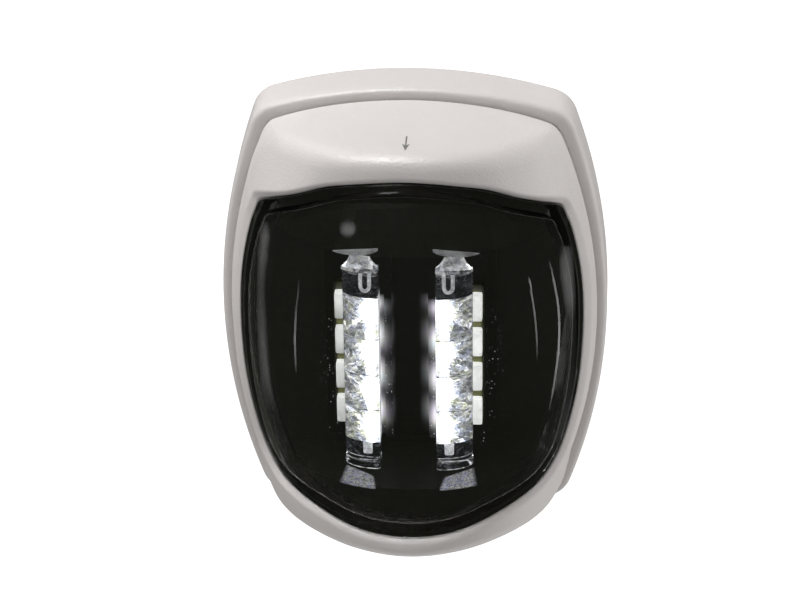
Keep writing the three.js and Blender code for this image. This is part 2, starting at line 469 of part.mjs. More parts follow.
const connector = fromSolid(cut(solid(slab(roundedRect(10.4, 4.8, 0.4, 2, 0, -17), 11.1, 13.8)),
  ...[-3.4, 0, 3.4].map(dx => solid(brick(dx - 1.1, dx + 1.1, 12.2, 14.5, -18.4, -15.6)))));

// ================================================================ rear cover
const coverShell = solid(capped([flatRing(6.0, COVER_BACK), flatRing(5.6, COVER_BACK + 0.3), flatRing(5.6, 4.1), flatRing(6.6, 4.1), flatRing(6.6, 5.1), flatRing(5.6, 5.1), flatRing(5.6, COVER_FRONT)], [0, COVER_BACK, 0], [0, COVER_FRONT, 0]));
let cover = cut(coverShell, solid(rod(0, GLAND_Z, 2, 7, 10.2, 10.2, 24)));
for (const sx of [-1, 1]) for (const sz of [-1, 1])
  cover = cut(cover, solid(rod(sx * SCREW_X, sz * SCREW_Z, 2, 7, 2.7, 2.7, 12)), solid(rod(sx * SCREW_X, sz * SCREW_Z, 3, 4.85, 4.8, 4.8, 16)));
for (const sx of [-1, 1]) cover = join(cover, cut(solid(rod(sx * 16.5, 18, 5.6, 9.1, 4.6, 4.2, 14)), solid(rod(sx * 16.5, 18, 7.2, 9.4, 2.6, 2.6, 12))));
// two rests under the board's lower edge and a raised collar round the gland
for (const sx of [-1, 1]) cover = join(cover, solid(rod(sx * 16.5, -18, 5.6, 9.1, 4.6, 4.2, 14)));
cover = join(cover, cut(solid(rod(0, GLAND_Z, 5.6, 6.6, 16.4, 15.6, 24)), solid(rod(0, GLAND_Z, 5.2, 7, 13.6, 13.6, 24))));
const rearCover = fromSolid(cover);
const coverSeal = hoop([flatRing(5.36, 4.4), flatRing(5.36, 4.8), flatRing(6.25, 4.85), flatRing(6.25, 4.35)]);
const coverScrew = (x, z) => {
  const s = solid(turned([[0, 3.7], [1.9, 3.7], [2.0, 3.9], [2.0, 4.6], [1.0, 4.6], [1.0, 8.6], [0.4, 9.2], [0, 9.2]], x, z, 16));
  return fromSolid(cut(s, solid(brick(x - 1.15, x + 1.15, 3, 4.2, z - 0.26, z + 0.26)), solid(brick(x - 0.26, x + 0.26, 3, 4.2, z - 1.15, z + 1.15))));
};
const GB = GLAND_BORE / 2;
const cableGland = turned([[GB, 0.5], [4.4, 0.5], [4.9, 1.0], [6.3, 1.3], [6.4, 1.6], [6.4, 3.1], [4.8, 3.1], [4.8, 6.1], [6.4, 6.1], [6.4, 7.0], [5.6, 7.8], [GB + 0.4, 7.8], [GB, 7.5], [GB, 0.5]], 0, GLAND_Z, 28);

// ================================================================ scene
const navLight = new THREE.Group();
navLight.name = 'navigation_light';
const baseGroup = new THREE.Group(); baseGroup.name = 'base_assembly';
const unitGroup = new THREE.Group(); unitGroup.name = 'light_unit_assembly';
navLight.add(baseGroup, unitGroup);

const finish = {
  white: () => new THREE.MeshStandardMaterial({ color: 0xdfdbd8, roughness: 0.42, metalness: 0 }),
  rubber: () => new THREE.MeshStandardMaterial({ color: 0x26272a, roughness: 0.85, metalness: 0 }),
  lens: () => new THREE.MeshStandardMaterial({ color: 0xdfe6e8, roughness: 0.04, metalness: 0, transparent: true, opacity: 0.22 }),
  optic: () => new THREE.MeshStandardMaterial({ color: 0xf4f8fb, roughness: 0.05, metalness: 0, transparent: true, opacity: 0.4 }),
  black: () => new THREE.MeshStandardMaterial({ color: 0x12130f, roughness: 0.6, metalness: 0 }),
  anodised: () => new THREE.MeshStandardMaterial({ color: 0x16171a, roughness: 0.45, metalness: 0.9 }),
  board: () => new THREE.MeshStandardMaterial({ color: 0x5d6128, roughness: 0.55, metalness: 0.05 }),
  package: () => new THREE.MeshStandardMaterial({ color: 0xf1f2ee, roughness: 0.4, metalness: 0, emissive: 0xffffff, emissiveIntensity: 0.6 }),
  driver: () => new THREE.MeshStandardMaterial({ color: 0x1d4a2c, roughness: 0.5, metalness: 0.05 }),
  epoxy: () => new THREE.MeshStandardMaterial({ color: 0x18191b, roughness: 0.5, metalness: 0 }),
  ferrite: () => new THREE.MeshStandardMaterial({ color: 0x3a3b3f, roughness: 0.7, metalness: 0.1 }),
  can: () => new THREE.MeshStandardMaterial({ color: 0xb9bcc0, roughness: 0.3, metalness: 1 }),
  steel: () => new THREE.MeshStandardMaterial({ color: 0xc3c5c7, roughness: 0.28, metalness: 1 }),
  cream: () => new THREE.MeshStandardMaterial({ color: 0xe8e0c8, roughness: 0.5, metalness: 0 }),
};
function piece(group, name, geometry, material) {
  const g = geometry.index ? geometry.toNonIndexed() : geometry;
  g.deleteAttribute('normal'); g.deleteAttribute('uv');
  const m = mergeVertices(g, 1e-4);
  m.computeVertexNormals();
  const mesh = new THREE.Mesh(m, material());
  mesh.name = name;
  group.add(mesh);
}
piece(baseGroup, 'mounting_base', mountingBase, finish.white);
piece(baseGroup, 'wall_gasket', wallGasket, finish.rubber);
piece(unitGroup, 'housing', housing, finish.white);
piece(unitGroup, 'skirt_seal', skirtSeal, finish.rubber);
piece(unitGroup, 'lens', lensGeometry, finish.lens);
piece(unitGroup, 'lens_seal', lensSeal, finish.rubber);
piece(unitGroup, 'inner_shroud', innerShroud, finish.black);
piece(unitGroup, 'led_carrier', ledCarrier, finish.anodised);
for (const [side, word] of [[-1, 'left'], [1, 'right']]) {
  piece(unitGroup, `led_board_${word}`, ledBoard(side), finish.board);
  LED_Z.forEach((z, i) => piece(unitGroup, `led_${word}_${i + 1}`, led(side, z), finish.package));
  piece(unitGroup, `optic_bar_${word}`, opticBar(side), finish.optic);
}
piece(unitGroup, 'driver_board', driverBoard, finish.driver);
piece(unitGroup, 'driver_chip', chip, finish.epoxy);
piece(unitGroup, 'inductor', inductor, finish.ferrite);
piece(unitGroup, 'input_capacitor', capacitor(-12.5, 8.5, 6.0, 13.8), finish.can);
piece(unitGroup, 'output_capacitor', capacitor(13.0, -6.5, 5.0, 13.6), finish.can);
piece(unitGroup, 'diode', diode, finish.epoxy);
piece(unitGroup, 'resistor_1', resistor(-4, -4.5), finish.epoxy);
piece(unitGroup, 'resistor_2', resistor(2.5, -4.5), finish.epoxy);
piece(unitGroup, 'output_connector', connector, finish.cream);
piece(unitGroup, 'board_screw_1', boardScrew(-16.5), finish.steel);
piece(unitGroup, 'board_screw_2', boardScrew(16.5), finish.steel);
piece(unitGroup, 'rear_cover', rearCover, finish.black);
piece(unitGroup, 'cover_seal', coverSeal, finish.rubber);
[[-1, 1], [1, 1], [-1, -1], [1, -1]].forEach(([sx, sz], i) => piece(unitGroup, `cover_screw_${i + 1}`, coverScrew(sx * SCREW_X, sz * SCREW_Z), finish.steel));
piece(unitGroup, 'cable_gland', cableGland, finish.rubber);

export default navLight;
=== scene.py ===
import math
import random
import bpy
import bmesh
import numpy as np
from mathutils import Matrix, Vector
from mathutils.interpolate import poly_3d_calc

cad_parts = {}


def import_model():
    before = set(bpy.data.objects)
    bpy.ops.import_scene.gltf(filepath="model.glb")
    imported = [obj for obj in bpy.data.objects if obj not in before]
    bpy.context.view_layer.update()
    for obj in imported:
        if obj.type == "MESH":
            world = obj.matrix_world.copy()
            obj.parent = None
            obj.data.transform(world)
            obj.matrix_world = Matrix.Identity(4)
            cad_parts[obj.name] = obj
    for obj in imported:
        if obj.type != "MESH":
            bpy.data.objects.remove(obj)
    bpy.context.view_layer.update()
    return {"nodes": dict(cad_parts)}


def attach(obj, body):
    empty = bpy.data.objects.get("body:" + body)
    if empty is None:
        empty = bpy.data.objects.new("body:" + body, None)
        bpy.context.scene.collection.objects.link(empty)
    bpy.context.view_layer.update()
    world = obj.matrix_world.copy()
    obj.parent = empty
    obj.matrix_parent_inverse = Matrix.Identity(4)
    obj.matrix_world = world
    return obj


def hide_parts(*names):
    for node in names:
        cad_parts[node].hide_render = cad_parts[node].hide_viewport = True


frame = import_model()

# ------------------------------------------------------------------ dimensions, millimetres, as in the CAD
HALF_WIDTH, CORNER_HALF_WIDTH, CORNER_HEIGHT, ARCH_HEIGHT, CORNER_RADIUS = 32.5, 25.8, 37.0, 41.2, 5.5
BASE_FRONT, BASE_FLOOR, BASE_WALL, LIP_RADIUS = 8.5, 2.6, 2.6, 1.8
UNIT_BACK, SKIRT_INSET, SKIRT_WALL, OVERHANG_BACK = 3.2, 3.0, 2.2, 9.1
AXIS_F, BARREL_POWER, RIM_PROUD, LIP_THICK, LENS_GAP, LENS_WALL = 8.0, 2.1, 0.8, 2.4, 0.3, 2.0
LENS_PROFILE = [(-40, 30.4), (-32, 32.2), (-28, 32.9), (-20, 33.7), (-10, 33.9), (0, 33.7), (10, 33.1), (20, 31.9), (28, 29.9), (33.2, 27.8), (40, 23.6)]
RIM = [(0, 0, 34.64), (0.11, 0.4973, 32.96), (0.19, 0.77, 29.43), (0.25, 0.9444, 25.87), (0.29, 0.9714, 22.33), (0.33, 0.9784, 19.0),
       (0.42, 0.9801, 10), (0.5, 0.9728, 0), (0.6, 0.9638, -12), (0.68, 0.9473, -21.55), (0.73, 0.912, -24.9),
       (0.765, 0.872, -26.3), (0.8, 0.815, -27.1), (0.86, 0.6477, -28.5), (0.93, 0.3424, -31), (1, 0, -31.74)]
EDGE = [(0, 0, 26.8, 38.3), (0.11, 12.2, 24.8, 37.6), (0.19, 20.0, 18.2, 36.2), (0.235, 23.4, 13.0, 34.7), (0.27, 25.4, 11.9, 31.6), (0.31, 27.3, 11.3, 26.6)]
EDGE_LOW = [(0.71, 26.53, 11.6, -28.65), (0.74, 25.42, 13.4, -31.87), (0.80, 22.3, 19.8, -33.8), (0.86, 16.97, 26.4, -34.1), (0.93, 8.77, 31.5, -34.73), (1, 0, 33.6, -34.75)]
GLAND_Z, GLAND_BORE = -14.0, 6.2
WALL_HOLE_X, WALL_HOLE_Z, WALL_HOLE_D = 14.0, 25.0, 3.6
SHELF_TOP, SHELF_LOW = 20.9, -21.8
COLUMN_X, LED_X, LED_SIZE = 7.55, 9.6, 5.1
LED_Z = [8.9, 2.3, -4.3, -10.9]
BAR_HALF, BAR_BACK, BAR_FRONT, BAR_SHOULDER = 2.95, 23.6, 27.4, 24.5

# ------------------------------------------------------------------ curves and outlines
def lerp(a, b, t):
    return a + (b - a) * t


def v3(*a):
    return np.array(a, float)


def unit(a):
    return a / (np.linalg.norm(a) or 1.0)


def curve(pts, t):
    n = len(pts)
    i = 0
    while i < n - 2 and t > pts[i + 1][0]:
        i += 1
    h = pts[i + 1][0] - pts[i][0]
    s = min(1.0, max(0.0, (t - pts[i][0]) / h))

    def slope(k):
        if k <= 0:
            return (pts[1][1] - pts[0][1]) / (pts[1][0] - pts[0][0])
        if k >= n - 1:
            return (pts[n - 1][1] - pts[n - 2][1]) / (pts[n - 1][0] - pts[n - 2][0])
        return (pts[k + 1][1] - pts[k - 1][1]) / (pts[k + 1][0] - pts[k - 1][0])

    m0, m1, s2, s3 = slope(i) * h, slope(i + 1) * h, s * s, s * s * s
    return (2 * s3 - 3 * s2 + 1) * pts[i][1] + (s3 - 2 * s2 + s) * m0 + (-2 * s3 + 3 * s2) * pts[i + 1][1] + (s3 - s2) * m1


def station_curve(rows, col, t, odd):
    s = -1 if odd else 1
    pts = []
    if rows[0][0] == 0:
        pts.append((-rows[1][0], s * rows[1][col]))
    pts += [(r[0], r[col]) for r in rows]
    if rows[-1][0] == 1:
        pts.append((2 - rows[-2][0], s * rows[-2][col]))
    return curve(pts, t)


SIDE_C = (CORNER_HALF_WIDTH ** 2 + CORNER_HEIGHT ** 2 - HALF_WIDTH ** 2) / (2 * (HALF_WIDTH - CORNER_HALF_WIDTH))
SIDE_R = HALF_WIDTH + SIDE_C
ARCH_C = (CORNER_HALF_WIDTH ** 2 + CORNER_HEIGHT ** 2 - ARCH_HEIGHT ** 2) / (2 * (ARCH_HEIGHT - CORNER_HEIGHT))
ARCH_R = ARCH_HEIGHT + ARCH_C


def side_at(z, d):
    return -SIDE_C + math.sqrt((SIDE_R - d) ** 2 - z * z)


def outline(d, station):
    low = station > 0.5
    t = 1 - station if low else station
    rf = max(CORNER_RADIUS - d, 1.0)
    rs, rt = SIDE_R - d, ARCH_R - d
    r1, r2 = rs - rf, rt - rf
    dx, dz = SIDE_C, -ARCH_C
    dd = math.hypot(dx, dz)
    q = (r1 * r1 - r2 * r2 + dd * dd) / (2 * dd)
    h = math.sqrt(r1 * r1 - q * q)
    cx, cz = -SIDE_C + q * dx / dd - h * dz / dd, q * dz / dd + h * dx / dd
    if cx < 0 or cz < 0:
        cx, cz = -SIDE_C + q * dx / dd + h * dz / dd, q * dz / dd - h * dx / dd
    a1, a2 = math.atan2(cz, cx + SIDE_C), math.atan2(cz + ARCH_C, cx)
    if t <= 0.22:
        a = lerp(math.pi / 2, a2, t / 0.22)
        x, z = rt * math.cos(a), -ARCH_C + rt * math.sin(a)
    elif t <= 0.28:
        a = lerp(a2, a1, (t - 0.22) / 0.06)
        x, z = cx + rf * math.cos(a), cz + rf * math.sin(a)
    else:
        a = lerp(a1, 0, (t - 0.28) / 0.22)
        x, z = -SIDE_C + rs * math.cos(a), rs * math.sin(a)
    return x, (-z if low else z)


def make_stations(k1, k2, k3):
    half = []
    for a, b, k in ((0, 0.22, k1), (0.22, 0.28, k2), (0.28, 0.5, k3)):
        half += [lerp(a, b, i / k) for i in range(k)]
    return half + [0.5] + [1 - s for s in reversed(half)]


STATIONS = make_stations(38, 16, 36)


def ring(fn):
    right = [np.asarray(fn(s), float) for s in STATIONS]
    left = [p * v3(-1, 1, 1) for p in reversed(right[1:-1])]
    return np.array(right + left)


def flat_ring(d, f):
    return ring(lambda s: (lambda o: (o[0], f, o[1]))(outline(d, s)))


SWELL = [(0, 1.65), (0.12, 1.75), (0.2, 2.0), (0.26, 2.4), (0.32, 2.1), (0.42, 1.75), (0.5, 1.65)]  # [station, inset of the overhang]
SWELL_Z = [(0, 1.65), (10, 1.75), (20, 2.15), (30, 2.7), (38, 2.75)]                                    # [height, the same inset on the sides]
BEVEL_AT = [(0, 0.35), (0.19, 0.4), (0.26, 0.9), (0.32, 1.3), (0.62, 1.3), (0.74, 0.9), (0.82, 0.6), (1, 0.5)]


def swell(z):
    return curve(SWELL_Z, min(38.0, abs(z)))


def bevel_at(s):
    return curve(BEVEL_AT, s)


def half_width(z, off):
    return side_at(z, swell(z)) - RIM_PROUD - off


def front_at(z, off):
    return curve(LENS_PROFILE, z) - off


def barrel_point(frac, z, off=0.0):
    a = min(1.0, abs(frac))
    w, f0 = half_width(z, off), front_at(z, off)
    return v3(math.copysign(a * w, frac), AXIS_F + (f0 - AXIS_F) * max(0.0, 1 - a ** BARREL_POWER) ** (1 / BARREL_POWER), z)


def frac_of(phi):
    return math.copysign(math.sin(abs(phi)) ** (2 / BARREL_POWER), phi)


def phi_of(frac):
    return math.copysign(math.asin(min(1.0, abs(frac)) ** (BARREL_POWER / 2)), frac)


def barrel_normal(p):
    def g(q):
        return (abs(q[0]) / half_width(q[2], -RIM_PROUD)) ** BARREL_POWER + (max(0.0, q[1] - AXIS_F) / (front_at(q[2], -RIM_PROUD) - AXIS_F)) ** BARREL_POWER
    e = 0.02
    out = []
    for k in range(3):
        a, b = p.copy(), p.copy()
        a[k] += e
        b[k] -= e
        out.append((g(a) - g(b)) / (2 * e))
    return unit(v3(*out))


def rim_point(s):
    return barrel_point(station_curve(RIM, 1, s, True), station_curve(RIM, 2, s, False), -RIM_PROUD)


_rim = {}


def rim_frame(s):
    if s not in _rim:
        p, e = rim_point(s), 0.004
        a = rim_point(e - s) * v3(-1, 1, 1) if s - e < 0 else rim_point(s - e)
        b = rim_point(2 - s - e) * v3(-1, 1, 1) if s + e > 1 else rim_point(s + e)
        n = barrel_normal(p)
        t = unit(np.cross(unit(b - a), n))
        if np.dot(t, v3(0, 30, 0) - p) < 0:
            t = -t
        _rim[s] = (p, n, t)
    return _rim[s]


def rim_at(s, along, depth):
    p, n, t = rim_frame(s)
    return p + t * along - n * depth


def swell_point(s):
    x, z = outline(curve(SWELL, min(s, 1 - s)), s)
    return v3(x, OVERHANG_BACK, z)


def half_way(s):
    return (swell_point(s) + rim_point(s)) / 2


def edge_point(s):
    def pick(rows):
        return v3(*[station_curve(rows, c, s, c == 1) for c in (1, 2, 3)])
    if s <= 0.31:
        return pick(EDGE + [(0.36, *half_way(0.36))])
    if s < 0.36:
        return pick(EDGE + [(0.36, *half_way(0.36)), (0.42, *half_way(0.42))])
    if s > 0.66:
        return pick([(0.6, *half_way(0.6)), (0.66, *half_way(0.66))] + EDGE_LOW)
    return half_way(s)


def wall_normal(s):
    e = 0.003
    a, b = outline(SKIRT_INSET, max(0, s - e)), outline(SKIRT_INSET, min(1, s + e))
    t = unit(v3(b[0] - a[0], 0, b[1] - a[1]))
    n = v3(-t[2], 0, t[0])
    x, z = outline(SKIRT_INSET, s)
    return -n if n[0] * x + n[2] * z < 0 else n


def body_corner(s, t):
    c, m, r = swell_point(s), edge_point(s), rim_point(s)
    la, lb = np.linalg.norm(c - m), np.linalg.norm(r - m)
    a, b = m + (c - m) * min(0.9, 3.6 / la), m + (r - m) * min(0.8, 2.8 / lb)
    return lerp(lerp(a, m, t), lerp(m, b, t), t)


def inner_edge(s):
    nw, nf = wall_normal(s), rim_frame(s)[1]
    return edge_point(s) - (nw + nf) * LIP_THICK / (1 + np.dot(nw, nf))


# ------------------------------------------------------------------ mesh helpers
def world(p):
    p = np.asarray(p, float).reshape(-1, 3)
    return np.c_[p[:, 0], -p[:, 1], p[:, 2]] * 0.001


def soften(rings, radii, n=3):
    """Rounds the corners of a closed chain of rings: each station's profile gets a curve of that radius at each ring."""
    P = np.array(rings)
    K = len(P)
    out = []
    for k in range(K):
        r = radii[k]
        if r <= 0:
            out.append(P[k])
            continue
        a, b = P[(k - 1) % K] - P[k], P[(k + 1) % K] - P[k]
        la, lb = np.linalg.norm(a, axis=1, keepdims=True) + 1e-9, np.linalg.norm(b, axis=1, keepdims=True) + 1e-9
        A, B = P[k] + a * np.minimum(0.46, r / la), P[k] + b * np.minimum(0.46, r / lb)
        for i in range(n + 1):
            t = i / n
            out.append((1 - t) ** 2 * A + 2 * t * (1 - t) * P[k] + t * t * B)
    return out


def new_object(name, verts, faces, smooth=True, angle=35):
    me = bpy.data.meshes.new(name)
    me.from_pydata([tuple(v) for v in verts], [], [tuple(f) for f in faces])
    bm = bmesh.new()
    bm.from_mesh(me)
    bmesh.ops.remove_doubles(bm, verts=bm.verts, dist=1e-7)
    bmesh.ops.recalc_face_normals(bm, faces=bm.faces)
    bm.to_mesh(me)
    bm.free()
    me.update()
    if smooth:
        me.shade_smooth()
        me.set_sharp_from_angle(angle=math.radians(angle))
    ob = bpy.data.objects.new(name, me)
    bpy.context.scene.collection.objects.link(ob)
    return ob


def quads(k, n, closed):
    f = []
    for i in range(k if closed else k - 1):
        a, b = i * n, ((i + 1) % k) * n
        f += [(a + j, b + j, b + (j + 1) % n, a + (j + 1) % n) for j in range(n)]
    return f


def hoop(name, rings, **kw):
    R = np.array(rings)
    return new_object(name, world(R.reshape(-1, 3)), quads(len(R), R.shape[1], True), **kw)


def capped(name, rings, poles=None, **kw):
    R = np.array(rings)
    k, n = R.shape[:2]
    v = list(R.reshape(-1, 3))
    f = quads(k, n, False)
    p = poles or (R[0].mean(0), R[-1].mean(0))
    v += [p[0], p[1]]
    f += [(k * n, j, (j + 1) % n) for j in range(n)]
    f += [(k * n + 1, (k - 1) * n + (j + 1) % n, (k - 1) * n + j) for j in range(n)]
    return new_object(name, world(v), f, **kw)


def rod_cutter(name, x, z, f0, f1, r0, r1, seg=48):
    a = np.linspace(0, 2 * math.pi, seg, endpoint=False)
    rings = [np.c_[x + r * np.cos(a), np.full(seg, f), z + r * np.sin(a)] for r, f in ((r0, f0), (r1, f1))]
    return capped(name, rings)


def turned(name, profile, x, z, seg=64, **kw):
    a = np.linspace(0, 2 * math.pi, seg, endpoint=False)
    rings = [np.c_[x + max(r, 1e-4) * np.cos(a), np.full(seg, f), z + max(r, 1e-4) * np.sin(a)] for r, f in profile]
    return capped(name, rings, **kw)


def cut_with(ob, cutters, op="DIFFERENCE"):
    for c in cutters:
        m = ob.modifiers.new("cut", "BOOLEAN")
        m.operation, m.object, m.solver = op, c, "EXACT"
    dg = bpy.context.evaluated_depsgraph_get()
    me = bpy.data.meshes.new_from_object(ob.evaluated_get(dg))
    ob.modifiers.clear()
    old = ob.data
    ob.data = me
    bpy.data.meshes.remove(old)
    for c in cutters:
        d = c.data
        bpy.data.objects.remove(c)
        bpy.data.meshes.remove(d)
    bm = bmesh.new()
    bm.from_mesh(ob.data)
    bmesh.ops.dissolve_degenerate(bm, dist=1e-7, edges=bm.edges)
    bm.to_mesh(ob.data)
    bm.free()
    ob.data.shade_smooth()
    ob.data.set_sharp_from_angle(angle=math.radians(30))
    return ob


# ------------------------------------------------------------------ materials
class Mat:
    def __init__(self, name):
        self.m = bpy.data.materials.new(name)
        self.m.use_nodes = True
        self.nt = self.m.node_tree
        self.bsdf = self.nt.nodes["Principled BSDF"]
        self.co = self.node("ShaderNodeTexCoord").outputs["Object"]

    def node(self, kind, **props):
        n = self.nt.nodes.new(kind)
        for k, v in props.items():
            setattr(n, k, v)
        return n

    def link(self, a, b):
        self.nt.links.new(a, b)

    def noise(self, scale, detail=3.0, rough=0.5, co=None, distortion=0.0):
        n = self.node("ShaderNodeTexNoise")
        n.inputs["Scale"].default_value = scale
        n.inputs["Detail"].default_value = detail
        n.inputs["Roughness"].default_value = rough
        n.inputs["Distortion"].default_value = distortion
        self.link(co or self.co, n.inputs["Vector"])
        return n.outputs["Fac"]

    def ramp(self, fac, stops, interp="LINEAR"):
        n = self.node("ShaderNodeValToRGB")
        cr = n.color_ramp
        cr.interpolation = interp
        while len(cr.elements) < len(stops):
            cr.elements.new(0.5)
        for e, (p, c) in zip(cr.elements, stops):
            e.position = p
            e.color = (*c, 1) if len(c) == 3 else c
        self.link(fac, n.inputs["Fac"])
        return n.outputs["Color"]

    def map(self, fac, a0, a1, b0, b1):
        n = self.node("ShaderNodeMapRange")
        for k, v in zip(("From Min", "From Max", "To Min", "To Max"), (a0, a1, b0, b1)):
            n.inputs[k].default_value = v
        self.link(fac, n.inputs["Value"])
        return n.outputs["Result"]

    def math(self, op, a, b=None, c=None, clamp=False):
        n = self.node("ShaderNodeMath", operation=op, use_clamp=clamp)
        for i, v in enumerate((a, b, c)):
            if v is None:
                continue
            if isinstance(v, (int, float)):
                n.inputs[i].default_value = v
            else:
                self.link(v, n.inputs[i])
        return n.outputs[0]

    def mix(self, fac, a, b, blend="MIX"):
        n = self.node("ShaderNodeMix", data_type="RGBA", blend_type=blend)
        for sock, v in ((n.inputs["Factor"], fac), (n.inputs[6], a), (n.inputs[7], b)):
            if isinstance(v, (int, float)):
                sock.default_value = v
            elif isinstance(v, tuple):
                sock.default_value = (*v, 1)
            else:
                self.link(v, sock)
        return n.outputs[2]

    def bump(self, height, strength, distance, normal=None):
        n = self.node("ShaderNodeBump")
        n.inputs["Strength"].default_value = strength
        n.inputs["Distance"].default_value = distance
        self.link(height, n.inputs["Height"])
        if normal:
            self.link(normal, n.inputs["Normal"])
        return n.outputs["Normal"]

    def set(self, **kw):
        for k, v in kw.items():
            s = self.bsdf.inputs[k.replace("_", " ")]
            if isinstance(v, bpy.types.NodeSocket):
                self.link(v, s)
            else:
                s.default_value = (*v, 1) if isinstance(v, tuple) and len(v) == 3 else v
        return self


def moulded(name, base, dark, rough=(0.36, 0.5), grain=2600, depth=0.000018, spec=0.5, fleck=0.0):
    """Moulded plastic: fine spark-eroded grain, slow tone drift, dust held in the grain, and a painted highlight that
    lightens convex edges.
    """
    m = Mat(name)
    slow = m.noise(55, 3, 0.55)
    mid = m.noise(420, 4, 0.6)
    fine = m.noise(grain, 2, 0.7)
    col = m.mix(m.map(slow, 0.3, 0.7, 0.0, 0.55), base, dark)
    col = m.mix(m.map(mid, 0.45, 0.75, 0.0, 0.22), col, dark)
    # painted highlight: convex edges, found by pointiness, are lightened towards a slightly brighter base colour
    geo = m.node("ShaderNodeNewGeometry")
    edge = m.map(geo.outputs["Pointiness"], 0.50, 0.58, 0.0, 0.25)
    col = m.mix(edge, col, tuple(min(1.0, c * 1.06) for c in base))
    if fleck:
        vor = m.node("ShaderNodeTexVoronoi")
        vor.inputs["Scale"].default_value = 900
        m.link(m.co, vor.inputs["Vector"])
        col = m.mix(m.map(vor.outputs["Distance"], 0.05, 0.12, fleck, 0.0), col, dark)
    r = m.math("ADD", m.map(mid, 0.3, 0.7, rough[0], rough[1]), m.map(fine, 0.3, 0.7, -0.04, 0.04))
    n1 = m.bump(fine, 0.55, depth)
    n2 = m.bump(mid, 0.25, depth * 1.5, n1)
    m.set(Base_Color=col, Roughness=r, Normal=n2, Specular_IOR_Level=spec)
    return m


white = moulded("white_abs", (0.745, 0.707, 0.690), (0.680, 0.642, 0.622), rough=(0.30, 0.44), grain=2600, depth=0.00013)
black = moulded("black_shroud", (0.0105, 0.0110, 0.0090), (0.0065, 0.0070, 0.0058), rough=(0.42, 0.6), spec=0.35)
cover_black = moulded("black_cover", (0.020, 0.020, 0.021), (0.012, 0.012, 0.013), rough=(0.45, 0.62), grain=1800, depth=0.00003)
cream = moulded("cream_nylon", (0.72, 0.64, 0.45), (0.62, 0.54, 0.37), rough=(0.4, 0.55))
epoxy = moulded("moulded_epoxy", (0.022, 0.022, 0.024), (0.013, 0.013, 0.014), rough=(0.45, 0.7), grain=5000, fleck=0.3)
ferrite = moulded("sintered_ferrite", (0.075, 0.076, 0.082), (0.045, 0.045, 0.05), rough=(0.6, 0.8), grain=3500, depth=0.00003, fleck=0.6)


def rubber_material(name, base, dark):
    m = Mat(name)
    a, b = m.noise(900, 4, 0.6), m.noise(90, 3, 0.5)
    col = m.mix(m.map(a, 0.35, 0.7, 0.0, 0.6), base, dark)
    col = m.mix(m.map(b, 0.5, 0.75, 0.0, 0.3), col, tuple(c * 1.8 for c in base))
    m.set(Base_Color=col, Roughness=m.map(a, 0.3, 0.7, 0.62, 0.86), Normal=m.bump(a, 0.4, 0.00003), Specular_IOR_Level=0.4)
    m.bsdf.inputs["Sheen Weight"].default_value = 0.15
    m.bsdf.inputs["Sheen Roughness"].default_value = 0.5
    return m


rubber = rubber_material("seal_rubber", (0.020, 0.020, 0.022), (0.011, 0.011, 0.012))


def clear_material(name, tint, ior, rough):
    """Clear moulded plastic: very slight flow ripple and a trace of haze."""
    m = Mat(name)
    flow = m.noise(38, 2, 0.4, distortion=0.4)
    haze = m.noise(260, 4, 0.6)
    m.set(Base_Color=m.mix(m.map(haze, 0.4, 0.7, 0.0, 0.5), tint, tuple(c * 0.985 for c in tint)),
          Roughness=m.map(haze, 0.45, 0.75, rough, rough + 0.025),
          Normal=m.bump(flow, 0.08, 0.00002))
    m.bsdf.inputs["Transmission Weight"].default_value = 1.0
    m.bsdf.inputs["IOR"].default_value = ior
    return m


lens_clear = clear_material("lens_polycarbonate", (0.985, 0.99, 0.985), 1.5, 0.006)
optic_clear = clear_material("optic_acrylic", (0.97, 0.985, 1.0), 1.49, 0.01)


def metal_material(name, base, rough, scratch_scale=(900, 60, 900), aniso=0.0):
    m = Mat(name)
    mp = m.node("ShaderNodeMapping")
    mp.inputs["Scale"].default_value = scratch_scale
    m.link(m.co, mp.inputs["Vector"])
    s = m.noise(3.0, 5, 0.7, co=mp.outputs["Vector"])
    b = m.noise(300, 3, 0.5)
    m.set(Base_Color=m.mix(m.map(b, 0.35, 0.7, 0.0, 0.5), base, tuple(c * 0.82 for c in base)),
          Roughness=m.map(s, 0.3, 0.7, rough * 0.7, rough * 1.5), Normal=m.bump(s, 0.25, 0.00001), Metallic=1.0)
    if aniso:
        m.bsdf.inputs["Anisotropic"].default_value = aniso
    return m


stainless = metal_material("stainless_steel", (0.62, 0.61, 0.60), 0.22)
can = metal_material("aluminium_can", (0.78, 0.78, 0.79), 0.28, (60, 900, 60))
anodised = metal_material("black_anodised", (0.018, 0.018, 0.020), 0.42, (60, 60, 900))


